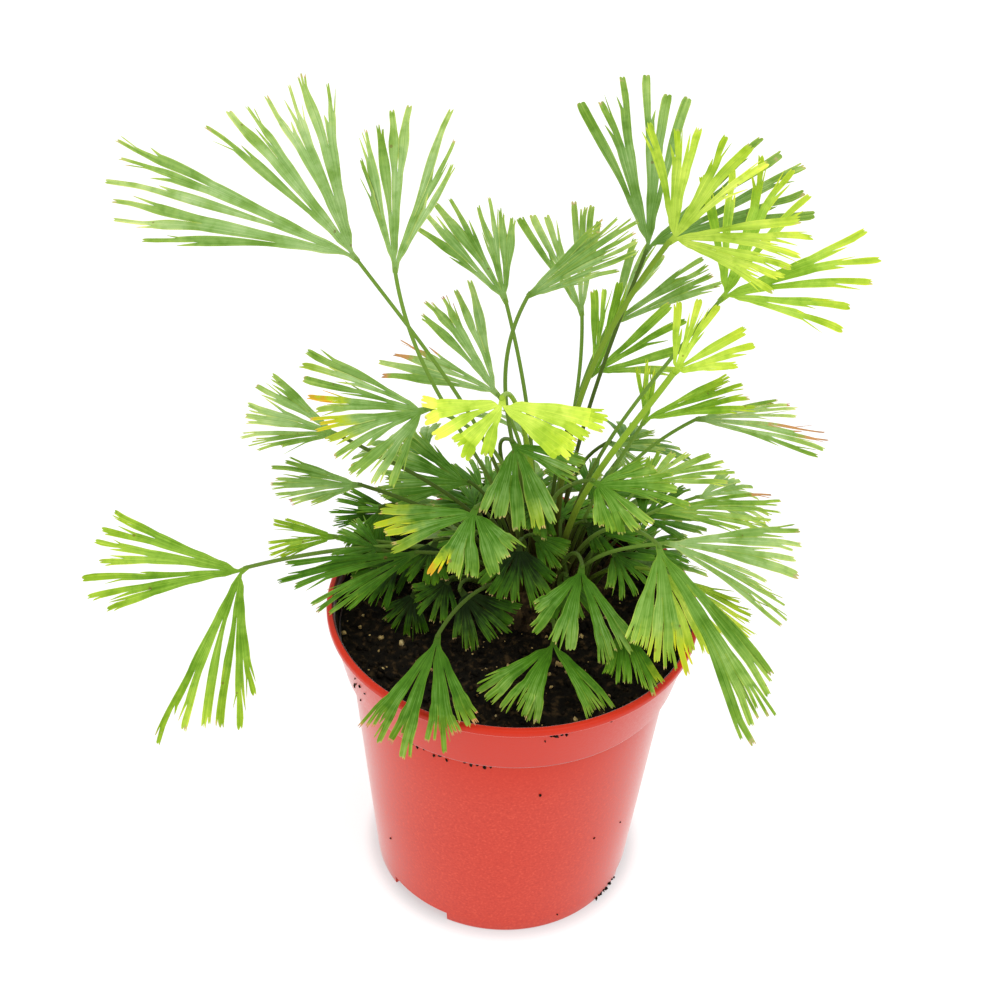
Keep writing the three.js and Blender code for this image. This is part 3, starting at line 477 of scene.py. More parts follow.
# Small leaves low in the plant that the solid model leaves out, as rows of the same kind
YOUNG_FRONDS = (
    even_frond((2, 31, 124), (100, 4, 0), (-64, -12, 22, 25, 4)),
    even_frond((24, 31, 127), (72, 6, 0), (-64, -12, 22, 25, 4)),
    even_frond((40, 24, 125), (32, 4, -8), (-60, -12, 20, 24, 4)),
    even_frond((-8, 28, 127), (140, 2, 6), (-60, -12, 22, 25, 4)),
    even_frond((-32, 28, 121), (152, -2, 20), (-50, -12, 20, 22, 3)),
    even_frond((-36, 6, 117), (205, -12, 20), (-44, -10, 17, 19, 3)),
    even_frond((16, -4, 125), (285, -42, 0), (-42, -10, 15, 17, 3)),
    even_frond((30, 4, 129), (318, -30, -15), (-42, -10, 15, 17, 3)),
    even_frond((-12, 8, 131), (215, -30, 10), (-42, -10, 15, 17, 3)),
    even_frond((-20, -2, 120), (230, -38, 10), (-42, -10, 14, 16, 3)),
    even_frond((-12, 18, 131), (125, 0, 0), (-64, -12, 15, 17, 4)),
    even_frond((26, 4, 133), (60, 2, 0), (-70, -12, 15, 17, 4)),
    even_frond((14, 10, 134), (80, 0, 0), (-64, -12, 14, 16, 4)),
    Frond((36, 9, 124), (40, 0, -6), (-56, -12, 18, 22, 4), (12, 56, 22, 20, 4)),
    even_frond((-42, 10, 120), (174, -3, 12), (-48, -12, 17, 19, 4)),
)
YOUNG_ROOT_DISTANCE = 17

# Where a half has its own habit here, and how dark each frond is, from 0 for the palest to 1
OWN_HABITS = {15: (BROAD, LOBED), 16: (WEBBED, OPEN)}
for habit, numbers in ((TALL, (1, 2, 3, 4)), (ROUNDED, (6, 7)), (OPEN, (19, 20)), (CLEFT, (24, 25, 26)),
                       (FULL, (23, 27, 29, 32, 33, 34, 35, 36, 38, 39, 41, 42, 43))):
    OWN_HABITS.update({number: (habit, habit) for number in numbers})
# Each frond's darkness is partly its own tone and partly painted shade, deepest on the low fronds that the
# others shade
AGES_AND_SHADE = (
    0.05, 0.08, 0.15, 0.08, 0.2, 0.0, 0.22, 0.28, 0.0, 0.0,
    0.2, 0.0, 0.18, 0.0, 0.0, 0.17, 0.07, 0.2, 0.27, 0.64,
    0.22, 1.0, 1.0, 0.54, 0.5, 0.5, 0.32, 0.0, 0.38, 0.02,
    0.2, 0.45, 0.42, 0.92, 0.92, 0.6, 0.33, 0.42, 0.62, 0.7,
    0.66, 0.85, 0.9, 0.2, 0.35, 0.12, 0.4, 0.0, 0.1, 0.0,
    0.0, 0.05, 0.05, 1.0, 0.5, 0.5, 0.5, 0.5, 0.6, 0.85,
    0.75, 0.65, 0.7, 0.9, 0.6, 0.6, 0.6, 0.6, 0.62,
)

# How much of the yellow-green of fresh leaves a frond has
FRESHNESS = {
    9: 1, 11: 0.8, 13: 1, 19: 1, 21: 0.9, 25: 0.3, 27: 0.4, 29: 0.45, 30: 0.5, 31: 0.5, 36: 0.4, 43: 0.5,
}

# Where leaves have turned: whole fronds that are partly yellow, then strips by their number from a
# frond's left, as how yellow they are, and as how far down from the tip the browning reaches
YELLOWED = {9: 0.35, 10: 0.3, 13: 0.2, 19: 0.2, 21: 0.15, 24: 0.1, 37: 0.3}
YELLOW_STRIPS = {
    16: {4: 0.6, 5: 1.3, 6: 0.3, 7: 1.6, 9: 0.3},
    27: {5: 1.15, 6: 0.1, 7: 0.5, 8: 0.15},
    32: {5: 0.35},
    33: {4: 0.25, 5: 1.6, 6: 0.3, 7: 0.8, 8: 1, 9: 0.55},
    36: {0: 0.5},
}
BURNT = {
    4: {0: 0.08, 2: 0.22, 3: 0.35, 6: 0.04},
    14: {4: 0.62, 5: 0.3, 1: 0.05},
    18: {1: 0.06},
    24: {0: 0.08, 2: 0.07, 4: 0.05, 6: 0.05, 8: 0.06},
    31: {0: 0.3},
}

# How much thicker than the others a frond's stalk is, and strips that turn on edge before their tip,
# by their number, as the turn in degrees
WIDE_STALKS = {8: 1.4, 10: 1.6, 15: 1.2, 21: 1.1}
CURLED = {2: {0: 65}}


def seeded_random(seed):
    """A stream of numbers from 0 to 1 that is the same on every run."""
    state = seed

    def draw():
        nonlocal state
        state = state * RANDOM_FACTOR % RANDOM_RANGE
        return state / RANDOM_RANGE

    return draw


def direction(azimuth, rise):
    """A unit vector from its azimuth and its rise above the horizon."""
    around = math.radians(azimuth)
    up = math.radians(rise)
    return Vector((math.cos(around) * math.cos(up), math.sin(around) * math.cos(up), math.sin(up)))


def smooth(share):
    """Eases a share from 0 to 1."""
    share = min(1, max(0, share))
    return share * share * (3 - 2 * share)


def mix(start, finish, share):
    """A value part of the way from one to another."""
    return start + (finish - start) * share


def browned(share, burn):
    """How brown a strip is at a share of its reach, where the browning reaches down by a share."""
    return smooth((share - 1) / burn + 1) if burn else 0


def veer(heading, degrees):
    """A heading in the fan's plane, turned to the left by an angle."""
    return Matrix.Rotation(math.radians(degrees), 2) @ heading


def bezier(points, share):
    """A point on the cubic curve that four points make."""
    a, b, c, d = points
    rest = 1 - share
    return a * rest**3 + b * 3 * rest**2 * share + c * 3 * rest * share**2 + d * share**3


def root_places():
    """Where each stalk leaves the crown, by the solid model's rule."""
    roots = []
    for frond in FRONDS:
        offset = Vector((frond.apex[0] - CROWN_X, frond.apex[1] - CROWN_Y))
        slope = offset.length / (frond.apex[2] - CROWN_TOP)
        roots.append(offset.normalized() * (ROOT_SPREAD * slope / (slope + ROOT_BALANCE)))
    for _ in range(ROOT_ROUNDS):
        for i, root in enumerate(roots):
            for other in roots[i + 1:]:
                apart = root - other
                push = (ROOT_GAP - apart.length) / 2
                if push > 0:
                    apart = apart.normalized() * push
                    root += apart
                    other -= apart
    return [Vector((CROWN_X + root.x, CROWN_Y + root.y, ROOT_FLOOR)) for root in roots]


def young_root(frond):
    """Where a young frond's stalk leaves the crown, on the side that its fan is on."""
    offset = Vector((frond.apex[0] - CROWN_X, frond.apex[1] - CROWN_Y)).normalized() * YOUNG_ROOT_DISTANCE
    return Vector((CROWN_X + offset.x, CROWN_Y + offset.y, ROOT_FLOOR))


def stalk_curve(frond, root):
    """The four points of the stalk's curve, from the crown to just inside the fan."""
    apex = Vector(frond.apex)
    line = apex - root
    approach = (line.normalized() + direction(frond.aim[0], frond.aim[1])).normalized()
    return (
        root,
        root + Vector((0, 0, STIPE_RISE * line.length)),
        apex - approach * (STIPE_APPROACH * line.length),
        apex + approach * STIPE_SINK,
    )


def strip_ends(measures, random):
    """Where the strips of half a fan end, from its left to its right, and how far each is lifted."""
    start, stop, near_reach, far_reach, count = measures
    step = (stop - start) / max(1, count - 1)
    ends = []
    for i in range(count):
        share = i / (count - 1) if count > 1 else 0.5
        inner = 1 if 0 < i < count - 1 else 0
        aside = inner * ANGLE_VARIATION * (random() - 0.5)
        angle = math.radians(start + (i + aside) * step)
        bow = 1 + EDGE_BOW * math.sin(math.pi * share)
        longer = 1 + REACH_VARIATION * (random() - REACH_MIDDLE)
        reach = mix(near_reach, far_reach, share) * bow * longer
        lift = LIFT_VARIATION * (random() - 0.5)
        ends.append((Vector((reach * math.cos(angle), reach * math.sin(angle))), lift))
    return ends


def strip_width_rule(measures, habit):
    """How wide one strip is at a share of its reach: it grows until its full width."""
    start, stop, near_reach, far_reach, count = measures
    spread = math.radians(stop - start) * (near_reach + far_reach) / 2
    return lambda share: min(habit.strip_width, (FAN_BASE_WIDTH + habit.spreading * share * spread) / count)


class Fan:
    """A frond's blade as a sheet of rows, drawn from its apex outward in the fan's own plane."""

    def __init__(self, number, frond):
        seed = FIRST_SEED + SEED_STEP * (number - 1)
        self.random = seeded_random(seed)
        self.detail = seeded_random(seed + DETAIL_SEED)
        self.number = number
        self.strip = 0
        self.flat = []
        self.heights = []
        self.marks = []
        self.faces = []
        self.draw(frond)

    def vary(self, least, extra):
        """A detail's own value, which is the least one and up to the extra more."""
        return least + extra * self.detail()

    def lay_row(self, row, columns, share, look, places=None):
        """Adds a row of points, one on each column line, and returns their numbers."""
        across = Vector((-row.heading.y, row.heading.x))
        count = len(columns) - 1
        fullness = min(1, COLUMNS * (row.high - row.low) / count / OPEN.strip_width)
        middle = (row.low + row.high) / 2
        curl = math.sin(math.pi * smooth((share - CURL_START) * CURL_SPEED))
        turn = look.twist * share + math.radians(look.curl) * curl
        first = len(self.flat)
        for n, column in enumerate(columns):
            offset = mix(row.low, row.high, places[n] if places else n / count)
            inside = min(offset - row.low, row.high - offset)
            ridge = 1 - abs(2 * (column % COLUMNS) / COLUMNS - 1)
            aside = offset - middle
            self.flat.append(row.centre + across * (middle + aside * math.cos(turn)))
            self.heights.append(row.lift + PLEAT_DEPTH * ridge * fullness + aside * math.sin(turn))
            self.marks.append((share, inside, column, look.tint, browned(share, look.burn), look.yellow))
        return list(range(first, len(self.flat)))

    def bridge(self, near, far):
        """Fills the band between two rows that have the same columns, and returns the far one."""
        for i in range(len(near) - 1):
            self.faces.append((near[i], near[i + 1], far[i + 1], far[i]))
        return far

    def middle(self, numbers):
        """The point halfway between the first and the last point of a row."""
        return (self.flat[numbers[0]] + self.flat[numbers[-1]]) / 2

    def width(self, numbers):
        """How wide a row is."""
        return (self.flat[numbers[-1]] - self.flat[numbers[0]]).length

    def path(self, start, target, heading):
        """The curve that a strip's middle line follows from a row to a target."""
        first = start.heading.lerp(heading, OWN_HEADING).normalized()
        handle = (target - start.centre).length / 3
        return (start.centre, start.centre + first * handle, target - heading * handle, target)

    def fill(self, numbers, start, finish, columns, reached, fork):
        """Fills a band between two rows in short steps along a curve."""
        curve = self.path(start, finish.centre, finish.heading)
        steps = max(2, round((finish.centre - start.centre).length / ROW_STEP))
        for step in range(1, steps + 1):
            t = step / steps
            row = Row(
                bezier(curve, t),
                start.heading.lerp(finish.heading, smooth(2 * t)).normalized(),
                mix(start.low, finish.low, smooth(t)),
                mix(start.high, finish.high, smooth(t)),
                mix(start.lift, finish.lift, t),
            )
            numbers = self.bridge(numbers, self.lay_row(row, columns, mix(reached, fork, t), PLAIN))
        return numbers

    def grow_point(self, numbers, heading, length, columns, profile, share, lift, look, end=1):
        """Draws a part that changes width by a profile and ends at a share of the way to the tip."""
        centre = self.middle(numbers)
        half_width = self.width(numbers) / 2
        for along, fullness in profile:
            half = half_width * fullness
            row = Row(centre + heading * (length * along), heading, -half, half, lift)
            place = min(1, mix(share, 1, along * end))
            numbers = self.bridge(numbers, self.lay_row(row, columns, place, look))
        return numbers

    def grow_spur(self, numbers, heading, side, columns, share, lift, look):
        """Draws a thin spur that leaves one edge of a strip."""
        turned = veer(heading, side * SPUR_SPLAY * self.vary(*UNEVEN))
        length = SPUR_LENGTH * self.vary(*SPUR_REACH)
        self.grow_point(numbers, turned, length, columns, NEEDLE, share, lift, look)

    def divide(self, numbers, heading, columns, cuts):
        """The parts of a strip's end between cuts, whose headings lean away from its middle."""
        room = len(columns) - 1
        for low, high in zip(cuts, cuts[1:]):
            turned = veer(heading, FINGER_SPLAY * ((low + high) / room - 1))
            yield numbers[low:high + 1], turned, columns[low:high + 1]

    def grow_finger(self, numbers, heading, length, columns, habit, share, lift, look):
        """Draws one finger of a strip's end, cut into small teeth where it has the width."""
        room = len(columns) - 1
        tooth = min(0.5 * length, TOOTH_LENGTH * self.vary(*UNEVEN))
        body = length - tooth
        numbers = self.grow_point(numbers, heading, body, columns, FINGER, share, lift, look, body / length)
        teeth = 1 + (room > 1) + (room > 3 and habit.tip is TOOTH)
        cuts = [room * n // teeth for n in range(teeth + 1)]
        for part, turned, part_columns in self.divide(numbers, heading, columns, cuts):
            reach = tooth if teeth == 1 else tooth * self.vary(*TOOTH_REACH)
            self.grow_point(part, turned, reach, part_columns, habit.tip, 1, lift, look)

    def grow_fingers(self, numbers, heading, length, columns, half, share, lift, look):
        """Ends a strip in one, two or three uneven fingers, the longest of which has its full reach."""
        room = len(columns) - 1
        pairs, even = half.habit.pairs, half.habit.evenness
        count = min(max(1, room // 2), 1 + (self.detail() < pairs) + (self.detail() < THREES * pairs))
        longest = int(self.detail() * count)
        if half.teeth == 2:
            longest = 0 if self.random() < 0.5 else count - 1
        cuts = [round(room * finger / count) for finger in range(count + 1)]
        if count == 2:
            cuts[1] = round(room * PAIR_CUTS[longest])
        parts = self.divide(numbers, heading, columns, cuts)
        for finger, (part, turned, part_columns) in enumerate(parts):
            reach = length if finger == longest else length * self.vary(even, MOST_EVEN - even)
            self.grow_finger(part, turned, reach, part_columns, half.habit, share, lift, look)

    def grow_strip(self, numbers, start, target, reached, lift, columns, half):
        """Draws one strip: it swells, may throw a thin spur off either edge, and ends in teeth."""
        habit = half.habit
        burn, yellow, curl = (table.get(self.number, {}).get(self.strip, 0)
                              for table in (BURNT, YELLOW_STRIPS, CURLED))
        self.strip += 1
        look = Look(self.detail() - 0.5, burn, yellow, TWIST * (self.detail() - 0.5), curl)
        length = (target - start.centre).length
        heading = veer((target - start.centre).normalized(), BEND * (self.detail() - 0.5))
        curve = self.path(start, target, heading)
        fingers = habit.finger_start + habit.finger_range * (self.detail() - 0.5)
        neck = (fingers - reached) / (1 - reached)
        full = half.width_at(1) * habit.swell
        steps = max(FEWEST_STEPS, round(length * neck / ROW_STEP))
        spurs = [int(steps * self.vary(*SPUR_PLACES)) if self.detail() < habit.spurs else None
                 for _ in (0, 1)]
        cut = [0, 0]
        for step in range(1, steps + 1):
            t = step / steps
            share = mix(reached, fingers, t)
            if t < SWELL_PEAK:
                width = mix(start.high - start.low, full, smooth(t / SWELL_PEAK))
            else:
                width = mix(full, full * (1 - habit.taper), smooth((t - SWELL_PEAK) / (1 - SWELL_PEAK)))
            width *= mix(1, WITHERED, browned(share, burn))
            row_lift = mix(start.lift, lift * share**2, t)
            turned = start.heading.lerp(heading, smooth(2 * t)).normalized()
            for side in (0, 1):
                if step == spurs[side] and len(columns) > FEWEST_COLUMNS + 1:
                    thick = SPUR_COLUMNS if len(columns) > COLUMNS else 1
                    part = (slice(thick + 1), slice(-thick - 1, None))[side]
                    rest = (slice(thick, None), slice(-thick))[side]
                    self.grow_spur(numbers[part], turned, 2 * side - 1, columns[part], share, row_lift, look)
                    numbers, columns = numbers[rest], columns[rest]
                    cut[side] += thick * width / COLUMNS
            row = Row(bezier(curve, t * neck), turned, cut[0] - width / 2, width / 2 - cut[1], row_lift)
            numbers = self.bridge(numbers, self.lay_row(row, columns, share, look))
            cut = [habit.recovery * amount for amount in cut]
        self.grow_fingers(numbers, heading, length * (1 - neck), columns, half, fingers, lift, look)

    def grow_band(self, numbers, start, reached, ends, depth, half, first):
        """Draws a band of strips up to its fork and then its two parts, or a single strip to its end."""
        target = sum((place for place, _ in ends), Vector((0, 0))) / len(ends)
        lift = sum(lift for _, lift in ends) / len(ends)
        columns = list(range(first, first + COLUMNS * len(ends) + 1))
        if len(ends) == 1:
            self.grow_strip(numbers, start, target, reached, lift, columns, half)
            return
        fork = half.habit.forks[depth] * (1 + FORK_VARIATION * (self.random() - 0.5))
        share = (fork - reached) / (1 - reached)
        left_count = len(ends) // 2 if self.random() < 0.5 else (len(ends) + 1) // 2
        heading = (target - start.centre).normalized()
        width = len(ends) * half.width_at(fork)
        finish = Row(start.centre.lerp(target, share), heading, -width / 2, width / 2, lift * fork**2)
        numbers = self.fill(numbers, start, finish, columns, reached, fork)
        for low, high in ((0, left_count), (left_count, len(ends))):
            part = numbers[COLUMNS * low:COLUMNS * high + 1]
            half_width = self.width(part) / 2
            part_row = Row(self.middle(part), heading, -half_width, half_width, finish.lift)
            self.grow_band(part, part_row, fork, ends[low:high], depth + 1, half, first + COLUMNS * low)

    def draw(self, frond):
        """Draws the fan's short base and then its two halves."""
        split = COLUMNS * frond.left[4]
        last = split + COLUMNS * frond.right[4]
        columns = list(range(last + 1))
        places = [n / split / 2 if n < split else 0.5 + (n - split) / (last - split) / 2 for n in columns]
        numbers = None
        ahead = Vector((1, 0))
        for x, width in ((0, FAN_BASE_WIDTH), (FIRST_FORK, FIRST_FORK_WIDTH)):
            row = Row(Vector((x, 0)), ahead, -width / 2, width / 2, 0)
            laid = self.lay_row(row, columns, 0, PLAIN, places)
            numbers = self.bridge(numbers, laid) if numbers else laid
        habits = OWN_HABITS.get(self.number, (frond.habit, frond.habit))
        teeth = frond.habit.teeth if frond.teeth is None else frond.teeth
        sides = ((frond.left, habits[0], 0, split), (frond.right, habits[1], split, last))
        for measures, habit, low, high in sides:
            part = numbers[low:high + 1]
            half_width = self.width(part) / 2
            reached = FIRST_FORK / ((measures[2] + measures[3]) / 2)
            half = Half(habit, teeth, strip_width_rule(measures, habit))
            row = Row(self.middle(part), ahead, -half_width, half_width, 0)
            self.grow_band(part, row, reached, strip_ends(measures, self.random), 0, half, low)


def blade_shell(fan, frond):
    """Bends a flat fan into its arch in space and closes it into a thin shell."""
    azimuth, rise, roll = frond.aim
    middle = direction(azimuth, rise)
    across = Quaternion(middle, -math.radians(roll)) @ direction(azimuth - 90, 0)
    face = across.cross(middle)
    reach = max(frond.left[2:4] + frond.right[2:4])
    flat = np.array([tuple(place) for place in fan.flat])
    share = np.hypot(flat[:, 0], flat[:, 1]) / reach
    height = 4 * ARCH * reach * share * (1 - share) + np.array(fan.heights)
    points = np.array(frond.apex) + flat @ np.array((middle, across)) + np.outer(height, face)
    faces = np.array(fan.faces)
    corners = points[faces]
    slant = np.cross(corners[:, 2] - corners[:, 0], corners[:, 3] - corners[:, 1])
    normals = np.zeros_like(points)
    for corner in range(4):
        np.add.at(normals, faces[:, corner], slant)
    normals /= np.linalg.norm(normals, axis=1)[:, None] + LEAST_NORMAL
    marks = np.array(fan.marks)
    inside = np.clip(marks[:, 1] / EDGE_WIDTH, 0, 1)[:, None]
    half = mix(EDGE_THICKNESS, BLADE_THICKNESS, inside) / 2
    count = len(points)
    rim = {}
    for quad in fan.faces:
        for a, b in zip(quad, quad[1:] + quad[:1]):
            if rim.pop((b, a), None) is None:
                rim[(a, b)] = True
    shell = fan.faces + [tuple(count + i for i in reversed(quad)) for quad in fan.faces]
    shell += [(b, a, count + a, count + b) for a, b in rim]
    return np.vstack((points + normals * half, points - normals * half)), shell, np.vstack((marks, marks))


def turns(sides):
    """The angles of the points of a circle, in radians."""
    return [2 * math.pi * n / sides for n in range(sides)]


def circle(radius, height, sides):
    """Points on a circle about Z."""
    return [(radius * math.cos(turn), radius * math.sin(turn), height) for turn in turns(sides)]


def bands(rings, sides, first=0):
    """The faces between rings of points that are numbered one ring after the other."""
    faces = []
    for start in range(first, first + (rings - 1) * sides, sides):
        for n in range(sides):
            a, b = start + n, start + (n + 1) % sides
            faces.append((a, b, b + sides, a + sides))
    return faces


def capped(rings, sides):
    """The faces of a stack of rings, closed at both ends."""
    top = (rings - 1) * sides
    return bands(rings, sides) + [tuple(reversed(range(sides))), tuple(range(top, top + sides))]


def tube_shell(curve, radii, sides, step):
    """A round bar along a curve, closed at both ends, with marks from -1 at its foot to 0 at its end."""
    samples = [bezier(curve, i / CURVE_SAMPLES) for i in range(CURVE_SAMPLES + 1)]
    length = sum((after - before).length for before, after in zip(samples, samples[1:]))
    steps = max(FEWEST_STEPS, round(length / step))
    centres = [bezier(curve, i / steps) for i in range(steps + 1)]
    side = Vector((1, 0, 0))
    points, marks = [], []
    for i, centre in enumerate(centres):
        ahead = (centres[min(i + 1, steps)] - centres[max(i - 1, 0)]).normalized()
        side = (side - ahead * side.dot(ahead)).normalized()
        other = ahead.cross(side)
        radius = mix(radii[0], radii[1], i / steps)
        for n, turn in enumerate(turns(sides)):
            points.append(centre + side * (radius * math.cos(turn)) + other * (radius * math.sin(turn)))
            marks.append((i / steps - STALK_MARK, EDGE_WIDTH, n, 0, 0, 0))
    return np.array([tuple(point) for point in points]), capped(steps + 1, sides), np.array(marks)


def joined(parts):
    """Several sets of points and faces as one."""
    points, faces, count = [], [], 0
    for part_points, part_faces in parts:
        faces += [tuple(count + i for i in face) for face in part_faces]
        points.append(part_points)
        count += len(part_points)
    return np.vstack(points), faces


def new_object(name, points, faces):
    """A new object in the scene, from points in millimetres."""
    mesh = bpy.data.meshes.new(name)
    mesh.from_pydata((np.asarray(points) * MM).tolist(), [], faces)
    made = bpy.data.objects.new(name, mesh)
    bpy.context.scene.collection.objects.link(made)
    return made


def make_piece(name, points, faces, material, slot, nodes=()):
    """Makes one piece from points in millimetres, on the object's body, in place of its solid nodes."""
    piece = new_object(name, points, faces)
    piece.data.materials.append(material)
    piece.data.shade_smooth()
    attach(piece, BODY)
    if nodes:
        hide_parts(*nodes)
    return piece


def keep_marks(piece, marks):
    """Stores marks, each one value or one for each point, as attributes that the material reads."""
    count = len(piece.data.vertices)
    for name, values in marks.items():
        attribute = piece.data.attributes.new(name, "FLOAT", "POINT")
        attribute.data.foreach_set("value", np.broadcast_to(values, count).astype(np.float32))


def make_frond(number, frond, root, material, stalk_radii):
    """One frond: its fan-shaped blade and its stalk."""
    radii = [radius * WIDE_STALKS.get(number, 1) for radius in stalk_radii]
    blade = blade_shell(Fan(number, frond), frond)
    stalk = tube_shell(stalk_curve(frond, root), radii, STIPE_SIDES, STIPE_STEP)
    points, faces = joined((blade[:2], stalk[:2]))
    if number <= len(FRONDS):
        name, nodes = f"fern_frond_{number:02d}", [f"frond_{number:02d}"]
    else:
        name, nodes = f"fern_young_frond_{number - len(FRONDS):02d}", ()
    piece = make_piece(name, points, faces, material, frond.tone, nodes)
    marks = dict(zip(MARKS, np.vstack((blade[2], stalk[2])).T))
    marks["yellow"] = np.maximum(marks["yellow"], YELLOWED.get(number, 0))
    keep_marks(piece, {**marks, "age": AGES_AND_SHADE[number - 1], "fresh": FRESHNESS.get(number, 0)})
    piece.data.set_sharp_from_angle(angle=math.radians(LEAF_SHARPNESS))


def rounded(corners):
    """An outline whose corners, given as (radius, height, rounding), are eased into arcs."""
    outline = []
    for i, (x, z, rounding) in enumerate(corners):
        here = Vector((x, z))
        if not rounding:
            outline.append(here)
            continue
        before = Vector(corners[i - 1][:2]) - here
        after = Vector(corners[i + 1][:2]) - here
        start = here + before.normalized() * rounding
        stop = here + after.normalized() * rounding
        for step in range(ROUNDING_STEPS + 1):
            t = step / ROUNDING_STEPS
            outline.append(start * (1 - t)**2 + here * 2 * t * (1 - t) + stop * t**2)
    return outline


def lathe(outline, sides):
    """Turns an outline that starts and ends on the axis into a closed solid about Z."""
    points = [(0, 0, outline[0][1])]
    for x, z in outline[1:-1]:
        points += circle(x, z, sides)
    last = len(points)
    points.append((0, 0, outline[-1][1]))
    top = last - sides
    faces = [(0, 1 + (n + 1) % sides, 1 + n) for n in range(sides)]
    faces += bands(len(outline) - 2, sides, 1)
    faces += [(top + n, top + (n + 1) % sides, last) for n in range(sides)]
    return np.array(points), faces


def channel_tool(azimuth, margin):
    """A block along one channel of the pot's underside, grown sideways and upward by a margin."""
    inner = CHANNEL_INNER - margin
    wide, high = CHANNEL_WIDTH / 2 + margin, CHANNEL_HEIGHT + margin
    points = [(x, y, z) for x in (inner, CHANNEL_OUTER) for y in (-wide, wide) for z in (-high, high)]
    faces = [(0, 1, 3, 2), (4, 6, 7, 5), (0, 4, 5, 1), (2, 3, 7, 6), (0, 2, 6, 4), (1, 5, 7, 3)]
    turn = Matrix.Rotation(math.radians(azimuth), 3, "Z")
    return new_object("channel", [turn @ Vector(point) for point in points], faces)


def drain_tool(azimuth):
    """A round bar that cuts the drain hole in the roof of a channel."""
    reach = 2 * CHANNEL_HEIGHT
    outline = ((0, -reach), (DRAIN_RADIUS, -reach), (DRAIN_RADIUS, reach), (0, reach))
    points, faces = lathe(outline, DRAIN_SIDES)
    return new_object("drain", points + np.array(DRAIN_DISTANCE * direction(azimuth, 0)), faces)


def cut(piece, cutters):
    """Cuts a piece by each cutter, keeps the result as its mesh and removes the cutters."""
    for cutter in cutters:
        boolean = piece.modifiers.new(cutter.name, "BOOLEAN")
        boolean.operation = "DIFFERENCE"
        boolean.solver = "EXACT"
        boolean.object = cutter
    depsgraph = bpy.context.evaluated_depsgraph_get()
    mesh = bpy.data.meshes.new_from_object(piece.evaluated_get(depsgraph))
    piece.modifiers.clear()
    piece.data = mesh
    for cutter in cutters:
        bpy.data.objects.remove(cutter)


def collar_radius(height, foot_radius, top_radius):
    """A radius at a height on the pot's collar, from those at its foot and under its lip."""
    return mix(foot_radius, top_radius, (height - COLLAR_BASE) / (LIP_FOOT - COLLAR_BASE))


def collar_inside(height):
    """The pot's inner radius at a height on its collar."""
    return collar_radius(height, COLLAR_FOOT_RADIUS - POT_WALL, INNER_RIM)


def wall_point(azimuth, height, proud):
    """A point on the pot's outer wall, proud of it by a distance."""
    if height > COLLAR_BASE:
        radius = collar_radius(height, COLLAR_FOOT_RADIUS, COLLAR_TOP_RADIUS)
    else:
        radius = mix(BASE_RADIUS, WALL_TOP_RADIUS, height / COLLAR_FOOT)
    return (radius + proud) * direction(azimuth, 0) + Vector((0, 0, height))


SOIL_EDGE_RADIUS = collar_inside(SOIL_EDGE_HEIGHT - 2 * SOIL_LUMP) - CLEARANCE


def make_pot(material):
    """The pot: a thin tapered shell with a stepped collar and a round lip, and channels at its foot."""
    above = POT_HEIGHT + LIP_HEIGHT
    outside = rounded((
        (0, 0, 0), (BASE_RADIUS, 0, 0.9),
        *((mix(BASE_RADIUS, WALL_TOP_RADIUS, z / COLLAR_FOOT), z, 0) for z in WALL_RINGS),
        (WALL_TOP_RADIUS, COLLAR_FOOT, 0.5), (COLLAR_FOOT_RADIUS, COLLAR_BASE, 0.7),
        (COLLAR_TOP_RADIUS, LIP_FOOT, 0.35), (RIM_RADIUS, LIP_FOOT + 0.6, 0.5), (RIM_RADIUS, POT_HEIGHT, 1),
        (0, POT_HEIGHT, 0)))
    inside = rounded((
        (0, POT_WALL, 0), (BASE_RADIUS - POT_WALL, POT_WALL, 0.8),
        (WALL_TOP_RADIUS - POT_WALL, COLLAR_FOOT, 0.5), (COLLAR_FOOT_RADIUS - POT_WALL, COLLAR_BASE, 0.5),
        (INNER_RIM, LIP_FOOT, 0.5),
        (INNER_RIM, POT_HEIGHT - 0.9, 0.3), (INNER_RIM + 0.3, POT_HEIGHT - 0.3, 0.3),
        (INNER_RIM + 1, POT_HEIGHT + 0.2, 0), (INNER_RIM + 1, above, 0), (0, above, 0)))
    hollow = new_object("hollow", *lathe(inside, POT_SIDES))
    cut(hollow, [channel_tool(azimuth, POT_WALL) for azimuth in CHANNEL_AZIMUTHS])
    pot = make_piece("fern_pot", *lathe(outside, POT_SIDES), material, "pot", ["pot"])
    channels = [channel_tool(azimuth, 0) for azimuth in CHANNEL_AZIMUTHS]
    drains = [drain_tool(azimuth) for azimuth in CHANNEL_AZIMUTHS]
    cut(pot, [hollow, *channels, *drains])
    pot.data.set_sharp_from_angle(angle=math.radians(POT_SHARPNESS))


def soil_height(x, y):
    """The height of the potting mix: the solid's dome and lumps, with loose clods on them."""
    share = min(1, math.hypot(x, y) / SOIL_EDGE_RADIUS)
    (x_rate, x_shift), (y_rate, y_shift) = SOIL_BROAD
    broad = math.sin(x_rate * x + x_shift) * math.sin(y_rate * y + y_shift)
    fine = math.sin(SOIL_FINE[0] * x + SOIL_FINE[1] * y)
    clods = noise.fractal(Vector((x, y, 0)) * CLOD_SCALE, *CLOD_NOISE)
    dome = SOIL_EDGE_HEIGHT + SOIL_DOME * (1 - share**2)
    return dome + SOIL_LUMP * (broad + FINE_SHARE * fine) * (1 - share**4) + CLOD_HEIGHT * clods


